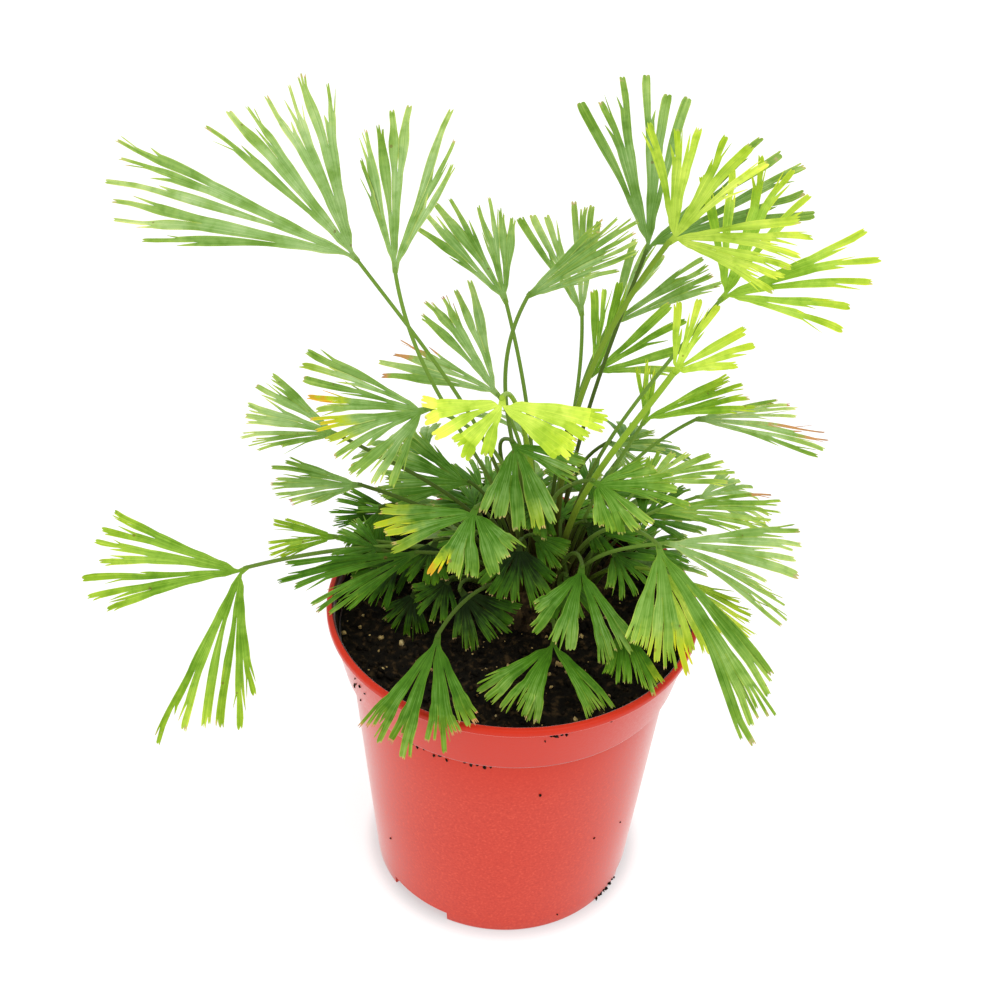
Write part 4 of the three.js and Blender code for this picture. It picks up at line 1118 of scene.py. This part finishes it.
def make_soil(material):
    """The block of potting mix, with a rough surface."""
    points = [(0, 0, soil_height(0, 0))]
    for step in range(1, SOIL_RINGS + 1):
        for x, y, _ in circle(SOIL_EDGE_RADIUS * step / SOIL_RINGS, 0, SOIL_SIDES):
            points.append((x, y, soil_height(x, y)))
    foot = CHANNEL_HEIGHT + POT_WALL + CLEARANCE
    walls = ((COLLAR_FOOT_RADIUS, COLLAR_BASE), (WALL_TOP_RADIUS, COLLAR_FOOT), (BASE_RADIUS, foot))
    for radius, height in walls:
        points += circle(radius - POT_WALL - CLEARANCE, height, SOIL_SIDES)
    rings = SOIL_RINGS + len(walls)
    last = 1 + (rings - 1) * SOIL_SIDES
    faces = [(0, 1 + n, 1 + (n + 1) % SOIL_SIDES) for n in range(SOIL_SIDES)]
    faces += [(a, d, c, b) for a, b, c, d in bands(rings, SOIL_SIDES, 1)]
    faces.append(tuple(reversed(range(last, last + SOIL_SIDES))))
    make_piece("fern_soil", points, faces, material, "soil", ["soil"])


def make_soil_film_and_shade(material):
    """The dark film on the inside of the collar, with an uneven upper edge: partly soil that watering leaves
    and partly painted shade inside the pot.
    """
    profile = [(height, FILM_GAP) for height in FILM_HEIGHTS]
    profile += [(height, FILM_GAP + FILM_DEPTH) for height in reversed(FILM_HEIGHTS)]
    count = len(profile)
    points, faces = [], []
    for n, turn in enumerate(turns(SOIL_SIDES)):
        place = Vector((math.cos(turn), math.sin(turn), 0.5)) * FILM_SCALE
        uneven = FILM_WAVE * noise.fractal(place, *ROUGH_NOISE)
        for height, inset in profile:
            z = height + uneven * (height == FILM_HEIGHTS[-1])
            radius = collar_inside(z) - inset
            points.append((radius * math.cos(turn), radius * math.sin(turn), z))
        across = (n + 1) % SOIL_SIDES * count
        for k in range(count):
            following = (k + 1) % count
            faces.append((n * count + k, n * count + following, across + following, across + k))
    make_piece("fern_soil_film", points, faces, material, "soil")


def lump(random, subdivisions):
    """The points and faces of one irregular lump about a millimetre across."""
    sphere = bmesh.new()
    bmesh.ops.create_icosphere(sphere, subdivisions=subdivisions, radius=0.5)
    shift = Vector((random() * LUMP_VARIETY, random() * LUMP_VARIETY, random() * LUMP_VARIETY))
    points = []
    for vertex in sphere.verts:
        swell = 1 + LUMP_ROUGHNESS * noise.noise(vertex.co * LUMP_SCALE + shift)
        points.append(vertex.co * swell)
    faces = [tuple(vertex.index for vertex in face.verts) for face in sphere.faces]
    sphere.free()
    return np.array([tuple(point) for point in points]), faces


def any_turn(random):
    """A rotation drawn at random."""
    turn = Quaternion((random() - 0.5, random() - 0.5, random() - 0.5, random() - 0.5)).normalized()
    return np.array(turn.to_matrix())


def strewn(random, count, kind, seen=()):
    """Places and sizes of grains on the potting mix, the first of them where the photograph shows them."""
    places, sizes = [], []
    for number in range(count):
        radius, turn = (SOIL_EDGE_RADIUS - kind.inset) * math.sqrt(random()), 2 * math.pi * random()
        x, y = seen[number] if number < len(seen) else (radius * math.cos(turn), radius * math.sin(turn))
        size = kind.smallest + kind.spread * random()**kind.rarity
        places.append((x, y, soil_height(x, y) + kind.rise * size))
        sizes.append(size)
    return places, sizes


def scatter(name, places, sizes, kind, material, seed):
    """A piece of many lumps, one at each place, each turned and stretched its own way."""
    random = seeded_random(seed)
    shapes = [lump(random, kind.subdivisions) for _ in range(LUMP_SHAPES)]
    parts = []
    for i, (place, size) in enumerate(zip(places, sizes)):
        points, faces = shapes[i % LUMP_SHAPES]
        turned = (points * (np.array(kind.stretch) * size)) @ any_turn(random).T
        parts.append((turned + np.array(place), faces))
    make_piece(name, *joined(parts), material, "soil")


def crown_point(azimuth, level):
    """A point on the crown's skin, from its azimuth and its level as a share of the way to its middle."""
    steps = len(CROWN_OUTLINE) - 1
    place = min(steps - TINY, level * steps)
    low, high = CROWN_OUTLINE[int(place)], CROWN_OUTLINE[int(place) + 1]
    share = place - int(place)
    swell = 1 + sum(depth * math.sin(count * azimuth + phase) for count, depth, phase in CROWN_BULGES)
    radius = CROWN_RADIUS * mix(low[0], high[0], share) * swell
    height = mix(CROWN_UNDERSIDE, CROWN_TOP, mix(low[1], high[1], share))
    return radius * math.cos(azimuth), radius * math.sin(azimuth), height


def stub(random):
    """The curve of the stub of one old stalk, which leans out from the crown."""
    azimuth = 2 * math.pi * random()
    lowest, extra = STUB_LEVELS
    x, y, z = crown_point(azimuth, lowest + extra * random())
    foot = Vector((CROWN_X + STUB_INSET * x, CROWN_Y + STUB_INSET * y, z - STUB_SINK))
    lean = Vector((STUB_LEAN * x / CROWN_RADIUS, STUB_LEAN * y / CROWN_RADIUS, 1)).normalized()
    length = STUB_LENGTH * (0.5 + random())
    side = Vector((random() - 0.5, random() - 0.5, 0))
    near, far = (foot + lean * length * share for share in STUB_HANDLES)
    return foot, near, far + side, foot + lean * length + side * 2


def make_crown(material):
    """The rootstock: a knobbly mound with the stubs of old stalks on it."""
    points = []
    for level in range(CROWN_RINGS + 1):
        for azimuth in turns(CROWN_SIDES):
            x, y, z = crown_point(azimuth, level / CROWN_RINGS)
            rough = CROWN_ROUGHNESS * noise.fractal(Vector((x, y, z)) * KNOB_SCALE, *ROUGH_NOISE)
            shrink = 1 + (rough - CROWN_ROUGHNESS) / CROWN_RADIUS
            points.append((CROWN_X + x * shrink, CROWN_Y + y * shrink, z + (rough if level else 0)))
    parts = [(np.array(points), capped(CROWN_RINGS + 1, CROWN_SIDES))]
    random = seeded_random(CROWN_SEED)
    for _ in range(STUB_COUNT):
        parts.append(tube_shell(stub(random), (STUB_RADIUS, 0.5 * STUB_RADIUS), STUB_SIDES, STUB_STEP)[:2])
    make_piece("fern_crown", *joined(parts), material, "crown", ["crown"])


class Graph:
    """Adds nodes to a material's tree or a group's, and feeds them with values and links."""

    def __init__(self, tree):
        self.tree = tree

    def add(self, kind, inputs=None, **settings):
        """Adds a node with its settings, and feeds its inputs, named or numbered."""
        node = self.tree.nodes.new(kind)
        for name, value in settings.items():
            setattr(node, name, value)
        for name, value in (inputs or {}).items():
            self.feed(node, name, value)
        return node

    def feed(self, node, name, value):
        """Links a socket into an input, or sets the input's own value."""
        socket = node.inputs[name]
        if isinstance(value, bpy.types.NodeSocket):
            self.tree.links.new(value, socket)
        elif socket.type == "RGBA" and len(value) == 3:
            socket.default_value = (*value, 1)
        else:
            socket.default_value = value

    def math(self, operation, *values):
        """The result of a maths node."""
        return self.add("ShaderNodeMath", dict(enumerate(values)), operation=operation).outputs[0]

    def times(self, first, second):
        """The product of two values."""
        return self.math("MULTIPLY", first, second)

    def plus(self, first, second):
        """The sum of two values."""
        return self.math("ADD", first, second)

    def minus(self, first, second):
        """The difference of two values."""
        return self.math("SUBTRACT", first, second)

    def ramp(self, value, low, high, to_low=0, to_high=1):
        """A value taken smoothly from one range to another."""
        inputs = {"Value": value, "From Min": low, "From Max": high, "To Min": to_low, "To Max": to_high}
        return self.add("ShaderNodeMapRange", inputs, interpolation_type="SMOOTHSTEP").outputs["Result"]

    def blend(self, share, first, second, kind="MIX"):
        """Two colours mixed by a share."""
        node = self.add("ShaderNodeMix", data_type="RGBA", blend_type=kind)
        for number, value in ((0, share), (6, first), (7, second)):
            self.feed(node, number, value)
        return node.outputs[2]

    def vector(self, operation, *values):
        """A node that works on vectors."""
        return self.add("ShaderNodeVectorMath", dict(enumerate(values)), operation=operation)

    def attribute(self, name):
        """A value stored on the mesh."""
        return self.add("ShaderNodeAttribute", attribute_name=name).outputs["Fac"]

    def place(self):
        """The place on the piece in metres."""
        return self.add("ShaderNodeTexCoord").outputs["Object"]

    def grain(self, scale, detail=4):
        """Soft noise of a scale, given as the number of its waves in a metre."""
        inputs = {"Vector": self.place(), "Scale": scale, "Detail": detail}
        return self.add("ShaderNodeTexNoise", inputs).outputs["Fac"]

    def group(self, name, inputs):
        """The outputs of a node group with its own values."""
        node = self.add("ShaderNodeGroup", node_tree=bpy.data.node_groups[name])
        for socket, value in inputs.items():
            self.feed(node, socket, value)
        return node.outputs

    def specks(self, scale, share, size):
        """The mask of the speck group with its own values."""
        return self.group("Specks", {"Scale": scale, "Share": share, "Size": size})["Mask"]


def new_group(name, inputs, outputs):
    """An empty node group with its inputs and outputs, and the graph to fill it."""
    tree = bpy.data.node_groups.new(name, "ShaderNodeTree")
    for kind, sockets in (("INPUT", inputs), ("OUTPUT", outputs)):
        for label, (socket_type, default) in sockets.items():
            socket = tree.interface.new_socket(label, in_out=kind, socket_type=socket_type)
            if default is not None:
                socket.default_value = default
    graph = Graph(tree)
    entry = graph.add("NodeGroupInput").outputs
    leave = graph.add("NodeGroupOutput")
    return graph, entry, leave


NUMBER = "NodeSocketFloat"
COLOUR = "NodeSocketColor"


def make_speck_group():
    """Scattered specks: soil dust on the pot, pale bits in the potting mix and spots on the leaves."""
    inputs = {"Scale": (NUMBER, 500), "Share": (NUMBER, 0.2), "Size": (NUMBER, 0.35)}
    graph, entry, leave = new_group("Specks", inputs, {"Mask": (NUMBER, None)})
    cells = graph.add("ShaderNodeTexVoronoi", {"Vector": graph.place(), "Scale": entry["Scale"]}).outputs
    chosen = graph.add("ShaderNodeSeparateColor", {"Color": cells["Color"]}).outputs
    present = graph.math("LESS_THAN", chosen[0], entry["Share"])
    size = graph.times(entry["Size"], graph.ramp(chosen[1], *SPECK_SIZES))
    near = graph.minus(1, graph.math("DIVIDE", cells["Distance"], size))
    graph.feed(leave, "Mask", graph.times(present, graph.ramp(near, *SPECK_EDGE)))


def make_mottle_group():
    """Soft uneven colour: a base colour that drifts to a lighter and a darker one."""
    inputs = {"Color": (COLOUR, (0.5, 0.5, 0.5, 1)), "Light": (COLOUR, (0.8, 0.8, 0.8, 1)),
              "Dark": (COLOUR, (0.2, 0.2, 0.2, 1)), "Scale": (NUMBER, 300), "Amount": (NUMBER, 0.5)}
    graph, entry, leave = new_group("Mottle", inputs, {"Color": (COLOUR, None), "Height": (NUMBER, None)})
    wave = graph.grain(entry["Scale"], detail=5)
    light = graph.times(graph.ramp(wave, *LIGHT_DRIFT), entry["Amount"])
    dark = graph.times(graph.ramp(wave, *DARK_DRIFT), entry["Amount"])
    colour = graph.blend(dark, graph.blend(light, entry["Color"], entry["Light"]), entry["Dark"])
    graph.feed(leave, "Color", colour)
    graph.feed(leave, "Height", wave)


def make_leaf_group():
    """A fern blade: veins along its strips, pale margins, yellow and brown tips, and its stalk."""
    inputs = {name: (COLOUR, None) for name in ("Young", "Grown", "Old", "Stalk", "Margin")}
    outputs = {"Color": (COLOUR, None), "Height": (NUMBER, None), "Gloss": (NUMBER, None)}
    graph, entry, leave = new_group("Leaf surface", inputs, outputs)
    along, inside, column, tint, burn, yellow, age, fresh = (
        graph.attribute(name) for name in (*MARKS, "age", "fresh"))
    cloud = graph.grain(CLOUD_SCALE, detail=3)
    mottle = graph.grain(MOTTLE_SCALE, detail=3)

    # Veins, and the streaks between them
    veins = graph.ramp(graph.math("PINGPONG", column, VEIN_COLUMNS / 2), *VEIN_WIDTH)
    hairs = graph.ramp(graph.math("PINGPONG", graph.times(column, HAIRS_A_COLUMN), 1), *HAIR_WIDTH)
    ribs = graph.plus(veins, graph.times(hairs, HAIR_DEPTH))
    lengthwise = {0: graph.times(column, STREAKS_ACROSS), 1: graph.times(along, STREAKS_ALONG)}
    streak_place = graph.add("ShaderNodeCombineXYZ", lengthwise).outputs[0]
    streak = graph.add("ShaderNodeTexNoise", {"Vector": streak_place, "Scale": 1, "Detail": 2}).outputs["Fac"]

    # How dark a place is, as twice its darkness, which is partly the frond's own tone and partly painted
    # shade, strongest near the fan's base: up to 1 it goes from young to grown, and then to old
    reach = graph.plus(along, graph.times(graph.minus(mottle, 0.5), RAGGEDNESS))
    darker = graph.times(age, graph.ramp(reach, *DARKENING))
    uneven = graph.times(graph.minus(streak, 0.5), STREAKS)
    twice = graph.times(graph.plus(darker, uneven), 2)
    colour = graph.blend(twice, entry["Young"], entry["Grown"])
    colour = graph.blend(graph.minus(twice, 1), colour, entry["Old"])

    # Everything that then changes the colour, in its order
    gold = graph.times(yellow, graph.ramp(reach, *GOLD_REACH))
    edge = graph.plus(burn, graph.times(graph.minus(graph.grain(BURN_SCALE), 0.5), BURN_RAGGEDNESS))
    burnt = graph.math("GREATER_THAN", burn, LEAST_BURN)
    spots = graph.times(graph.specks(MOTTLE_SCALE, SPOT_SHARE, SPOT_SIZE), SPOT_STRENGTH)
    layers = (
        (fresh, FRESH_TINT, "MULTIPLY"),
        (graph.ramp(cloud, *DARK_CLOUDS), PATCH_DARK, "MULTIPLY"),
        # Light clouds and light strips: random tone with a painted bluish sheen
        (graph.ramp(cloud, *LIGHT_CLOUDS), PATCH_LIGHT_AND_SHEEN, "MULTIPLY"),
        (graph.ramp(mottle, *DARK_MOTTLES), PATCH_DARK, "MULTIPLY"),
        (graph.ramp(tint, *LIGHT_STRIPS), PATCH_LIGHT_AND_SHEEN, "MULTIPLY"),
        (graph.ramp(tint, *DARK_STRIPS), PATCH_DARK, "MULTIPLY"),
        (ribs, VEIN_LIGHT, "MULTIPLY"),
        (graph.ramp(reach, *PALE_TIPS), TIP_LIGHT, "MULTIPLY"),
        (graph.times(yellow, graph.ramp(reach, *YELLOWING)), YELLOW_BLADE, "MIX"),
        (graph.ramp(gold, *GOLDING), GOLD_TIP, "MIX"),
        (graph.ramp(reach, *TANNING), TAN_TIP, "MIX"),
        (graph.ramp(inside, *MARGIN_FADE), entry["Margin"], "MULTIPLY"),
        (graph.times(graph.ramp(edge, *ORANGE_BURN), burnt), ORANGE_TIP, "MIX"),
        (graph.times(graph.ramp(edge, *BROWN_BURN), burnt), BROWN_TIP, "MIX"),
        (spots, SPOT_BROWN, "MIX"),
    )
    for share, tone, kind in layers:
        colour = graph.blend(share, colour, tone, kind)

    # The stalks of dark fronds take the shaded stalk colour, as painted shade
    upper = graph.blend(graph.ramp(age, *STALK_SHADE), entry["Stalk"], SHADED_STALK)
    stalk = graph.blend(graph.ramp(along, *STALK_DARKENING), upper, STALK_FOOT)
    graph.feed(leave, "Color", graph.blend(graph.ramp(along, *STALK_START), colour, stalk))
    graph.feed(leave, "Height", graph.plus(ribs, graph.times(graph.grain(SKIN_SCALE), SKIN_DEPTH)))
    graph.feed(leave, "Gloss", graph.ramp(graph.grain(GLOSS_SCALE), *GLOSS_PATCHES))


def new_material(name, **values):
    """A material with its shader's own values set, and the graph that feeds it."""
    material = bpy.data.materials.new(name)
    material.use_nodes = True
    graph = Graph(material.node_tree)
    shader = material.node_tree.nodes["Principled BSDF"]
    for socket, value in values.items():
        graph.feed(shader, socket.replace("_", " "), value)
    return material, graph, shader


def bump(graph, shader, height, distance, strength=1):
    """Feeds a height into the shader's normal, with its depth in millimetres."""
    node = graph.add("ShaderNodeBump", {"Height": height, "Distance": distance * MM, "Strength": strength})
    graph.feed(shader, "Normal", node.outputs["Normal"])


def leaf_material(name, young, grown, old, stalk, margin):
    """The finish of one kind of frond."""
    material, graph, shader = new_material(name, Specular_IOR_Level=0.08)
    leaf = graph.group("Leaf surface", {"Young": young, "Grown": grown, "Old": old, "Stalk": stalk,
                                        "Margin": margin})
    graph.feed(shader, "Base Color", leaf["Color"])
    graph.feed(shader, "Roughness", graph.ramp(leaf["Gloss"], *LEAF_ROUGHNESS))
    bump(graph, shader, leaf["Height"], distance=0.05, strength=0.6)
    return material


def pot_material(settings):
    """Moulded terracotta-red plastic with a fine speckle and a soft gloss, and painted shade on its collar,
    in the crease under it and on its inside faces.
    """
    material, graph, shader = new_material("fern_pot_plastic", Specular_IOR_Level=0.16, Sheen_Weight=0.78,
                                           Sheen_Roughness=0.28)
    mottle = graph.group("Mottle", {"Color": (*settings.colour, 1), "Light": POT_LIGHT, "Dark": POT_DARK,
                                    "Scale": 1200, "Amount": 0.5})
    height = graph.add("ShaderNodeSeparateXYZ", {"Vector": graph.place()}).outputs["Z"]
    ledge = graph.times(graph.ramp(height, *LEDGE_START), graph.ramp(height, *LEDGE_END))
    smudge_and_crease_shade = graph.ramp(graph.grain(SMUDGE_AND_SHADE_SCALE), *SMUDGES_AND_CREASE_SHADE)
    aside = graph.vector("MULTIPLY", graph.place(), (1, 1, 0)).outputs[0]
    facing = graph.add("ShaderNodeTexCoord").outputs["Normal"]
    outward = graph.vector("DOT_PRODUCT", aside, facing).outputs["Value"]
    colour = mottle["Color"]
    for share, tone in (
        (graph.times(graph.specks(scale=800, share=0.12, size=0.35), DUST_STRENGTH), POT_LIGHT),
        # Painted shade of the leaves, deepening the upper wall and the collar
        (graph.ramp(height, *PAINTED_SHADE_HEIGHTS), POT_PAINTED_SHADE),
        # Soil smudges and painted shade in the crease under the collar
        (graph.times(ledge, smudge_and_crease_shade), POT_STAIN_AND_SHADE),
        # Painted shade on the pot's inside faces
        (graph.ramp(outward, *INNER_FACES), POT_STAIN_AND_SHADE),
    ):
        colour = graph.blend(share, colour, tone)
    graph.feed(shader, "Base Color", colour)
    graph.feed(shader, "Roughness", graph.ramp(mottle["Height"], *POT_ROUGHNESS))
    bump(graph, shader, mottle["Height"], distance=0.03, strength=0.5)
    return material


def soil_material(name, base, light, dark, speck_colour, speck_share):
    """Moist potting mix: dark, rough and full of fibre, with pale bits in it."""
    material, graph, shader = new_material(name, Specular_IOR_Level=0.08)
    mottle = graph.group("Mottle", {"Color": base, "Light": light, "Dark": dark, "Scale": 450, "Amount": 1})
    specks = graph.specks(scale=900, share=speck_share, size=0.4)
    graph.feed(shader, "Base Color", graph.blend(specks, mottle["Color"], speck_colour))
    graph.feed(shader, "Roughness", graph.ramp(mottle["Height"], *SOIL_ROUGHNESS))
    bump(graph, shader, mottle["Height"], distance=0.5)
    return material


def floor_material(settings):
    """A plain white studio surface that glows a little, as an overexposed backdrop does, and whose glow dims
    round the pot's foot as a painted shadow.
    """
    material, graph, shader = new_material("fern_floor", Roughness=0.9, Specular_IOR_Level=0,
                                           Emission_Strength=settings.glow)
    graph.feed(shader, "Base Color", (*settings.floor, 1))
    distance = graph.vector("LENGTH", graph.place()).outputs["Value"]
    # Painted shadow: the glow dims to grey round the pot's foot
    glow = graph.blend(graph.ramp(distance, *FLOOR_SHADE), FLOOR_SHADED, (1, 1, 1))
    graph.feed(shader, "Emission Color", glow)
    return material


def colour_setting(name, description, default):
    """A colour that the sidebar offers."""
    return bpy.props.FloatVectorProperty(name=name, description=description, default=default, size=3, min=0,
                                         max=1, subtype="COLOR")


def radius_setting(name, description, default):
    """A radius that the sidebar offers."""
    return bpy.props.FloatProperty(name=name, description=description, default=default, min=0,
                                   subtype="DISTANCE", unit="LENGTH")


class FernLeafSettings(bpy.types.PropertyGroup):
    green: colour_setting("Green blade", "Colour of a pale green frond", GREEN_YOUNG)
    lime: colour_setting("Lime blade", "Colour of a young lime-green frond", LIME_YOUNG)
    stalk_foot: radius_setting("Stalk foot", "Radius of a stalk where it leaves the crown", 0.0007)
    stalk_top: radius_setting("Stalk top", "Radius of a stalk where its blade starts", 0.0006)


class FernPotSettings(bpy.types.PropertyGroup):
    colour: colour_setting("Plastic", "Colour of the pot", POT_RED)


class FernSoilSettings(bpy.types.PropertyGroup):
    crumbs: bpy.props.IntProperty(name="Crumbs", description="Number of loose crumbs on the potting mix",
                                  default=1400, min=0)
    perlite: bpy.props.IntProperty(name="Perlite", description="Number of pale grains in the potting mix",
                                   default=45, min=0)


class FernStageSettings(bpy.types.PropertyGroup):
    floor: colour_setting("Floor", "Colour of the studio floor", (0.45, 0.45, 0.45))
    glow: bpy.props.FloatProperty(name="Glow", description="Light that the floor gives off", default=0.68,
                                  min=0)
    sky: bpy.props.FloatProperty(name="Sky", description="Strength of the white light all round",
                                 default=1.0, min=0)
    key: bpy.props.FloatProperty(name="Key light", description="Power of the main light", default=4, min=0,
                                 unit="POWER")


class FERN_OT_add_pot(bpy.types.Operator):
    """Adds the nursery pot"""
    bl_idname = "fern.add_pot"
    bl_label = "Add pot"

    def execute(self, context):
        make_pot(pot_material(context.scene.fern_pot))
        return {"FINISHED"}


class FERN_OT_add_soil(bpy.types.Operator):
    """Adds the potting mix with its crumbs and perlite, and the crumbs that stick to the pot"""
    bl_idname = "fern.add_soil"
    bl_label = "Add potting mix"

    def execute(self, context):
        settings = context.scene.fern_soil
        soil = soil_material("fern_potting_mix", SOIL_BROWN, SOIL_LIGHT, SOIL_DARK, PERLITE_CREAM,
                             speck_share=0.03)
        make_soil(soil)
        # The film is partly soil stain and partly painted shade inside the pot
        make_soil_film_and_shade(soil)
        random = seeded_random(CRUMB_SEED)
        places, sizes = strewn(random, settings.crumbs, CRUMBS)
        scatter("fern_soil_crumbs", places, sizes, CRUMBS, soil, CRUMB_SEED + 1)
        pale = soil_material("fern_perlite", PERLITE_CREAM, PERLITE_WHITE, PERLITE_SHADE, PERLITE_WHITE,
                             speck_share=0)
        places, sizes = strewn(random, settings.perlite, PERLITE, PERLITE_SEEN)
        scatter("fern_perlite", places, sizes, PERLITE, pale, CRUMB_SEED + 2)
        places = [wall_point(azimuth, height, WALL_GAP) for azimuth, height, _ in WALL_CRUMBS]
        sizes = [size for _, _, size in WALL_CRUMBS]
        scatter("fern_wall_crumbs", places, sizes, STUCK, soil, CRUMB_SEED + 3)
        return {"FINISHED"}


class FERN_OT_add_crown(bpy.types.Operator):
    """Adds the rootstock that every stalk grows from"""
    bl_idname = "fern.add_crown"
    bl_label = "Add crown"

    def execute(self, context):
        make_crown(soil_material("fern_rootstock", CROWN_BROWN, CROWN_LIGHT, SOIL_DARK, CROWN_LIGHT,
                                 speck_share=0.1))
        return {"FINISHED"}


class FERN_OT_add_fronds(bpy.types.Operator):
    """Adds every frond, each one stalk and one fan"""
    bl_idname = "fern.add_fronds"
    bl_label = "Add fronds"

    def execute(self, context):
        settings = context.scene.fern_leaves
        finishes = {
            GREEN: leaf_material("fern_green_leaf", settings.green, GREEN_GROWN, GREEN_OLD_AND_SHADED, GREEN_STALK,
                                 GREEN_MARGIN),
            LIME: leaf_material("fern_lime_leaf", settings.lime, LIME_GROWN, LIME_OLD_AND_SHADED, LIME_STALK,
                                LIME_MARGIN),
            SHADE: leaf_material("fern_shaded_leaf", settings.green, GREEN_GROWN, GREEN_OLD_AND_SHADED, SHADED_STALK,
                                 GREEN_MARGIN),
        }
        radii = (settings.stalk_foot / MM, settings.stalk_top / MM)
        roots = root_places()
        roots += [young_root(frond) for frond in YOUNG_FRONDS]
        for number, (frond, root) in enumerate(zip(FRONDS + YOUNG_FRONDS, roots), 1):
            make_frond(number, frond, root, finishes[frond.tone], radii)
        return {"FINISHED"}


def add_light(name, place, size, power):
    """A round lamp that shines on what the camera looks at."""
    lamp = bpy.data.lights.new(name, "AREA")
    lamp.shape = "DISK"
    lamp.size = size
    lamp.energy = power
    light = bpy.data.objects.new(name, lamp)
    light.location = place
    aim = Vector(CAMERA_AIM) * MM - Vector(place)
    light.rotation_euler = aim.to_track_quat("-Z", "Y").to_euler()
    bpy.context.scene.collection.objects.link(light)


def add_camera(scene):
    """The camera that the photograph was fitted with."""
    back = direction(-90, CAMERA_RISE)
    lens = bpy.data.cameras.new("fern_camera")
    lens.sensor_width = SENSOR
    lens.lens = SENSOR * CAMERA_FOCUS / PICTURE
    lens.clip_start = CLIP_START
    camera = bpy.data.objects.new("fern_camera", lens)
    camera.location = (Vector(CAMERA_AIM) + back * CAMERA_DISTANCE) * MM
    turn = back.to_track_quat("Z", "Y").to_matrix().to_4x4()
    camera.rotation_euler = (turn @ Matrix.Rotation(math.radians(CAMERA_ROLL), 4, "Z")).to_euler()
    scene.collection.objects.link(camera)
    scene.camera = camera


class FERN_OT_add_stage(bpy.types.Operator):
    """Adds the floor, the lights and the camera"""
    bl_idname = "fern.add_stage"
    bl_label = "Add stage"

    def execute(self, context):
        settings = context.scene.fern_stage
        scene = context.scene
        corners = [(FLOOR_SIZE * x, FLOOR_SIZE * y, 0) for x, y in ((-1, -1), (1, -1), (1, 1), (-1, 1))]
        floor = new_object("fern_floor", corners, [(0, 1, 2, 3)])
        floor.data.materials.append(floor_material(settings))
        world = scene.world or bpy.data.worlds.new("fern_sky")
        scene.world = world
        world.use_nodes = True
        sky = world.node_tree.nodes["Background"]
        sky.inputs["Color"].default_value = (1, 1, 1, 1)
        sky.inputs["Strength"].default_value = settings.sky
        for name, place, size, share in LIGHTS:
            add_light(name, place, size, settings.key * share)
        add_camera(scene)
        scene.view_settings.view_transform = "Standard"
        return {"FINISHED"}


class FERN_PT_sidebar(bpy.types.Panel):
    """Lists the fern's pieces and settings"""
    bl_idname = "FERN_PT_sidebar"
    bl_label = "Potted fern"
    bl_space_type = "VIEW_3D"
    bl_region_type = "UI"
    bl_category = "Fern"

    def draw(self, context):
        for name, settings in SETTINGS.items():
            for setting in settings.__annotations__:
                self.layout.prop(getattr(context.scene, name), setting)
        for operator in OPERATORS:
            self.layout.operator(operator.bl_idname)


SETTINGS = {
    "fern_leaves": FernLeafSettings,
    "fern_pot": FernPotSettings,
    "fern_soil": FernSoilSettings,
    "fern_stage": FernStageSettings,
}
OPERATORS = (FERN_OT_add_pot, FERN_OT_add_soil, FERN_OT_add_crown, FERN_OT_add_fronds, FERN_OT_add_stage)


def register():
    for name, settings in SETTINGS.items():
        bpy.utils.register_class(settings)
        setattr(bpy.types.Scene, name, bpy.props.PointerProperty(type=settings))
    for operator in OPERATORS:
        bpy.utils.register_class(operator)
    bpy.utils.register_class(FERN_PT_sidebar)


def unregister():
    bpy.utils.unregister_class(FERN_PT_sidebar)
    for operator in reversed(OPERATORS):
        bpy.utils.unregister_class(operator)
    for name, settings in SETTINGS.items():
        delattr(bpy.types.Scene, name)
        bpy.utils.unregister_class(settings)


def main():
    """Builds the whole scene."""
    register()
    for make_group in (make_speck_group, make_mottle_group, make_leaf_group):
        make_group()
    bpy.ops.fern.add_pot()
    bpy.ops.fern.add_soil()
    bpy.ops.fern.add_crown()
    bpy.ops.fern.add_fronds()
    bpy.ops.fern.add_stage()


if __name__ == "__main__":
    main()
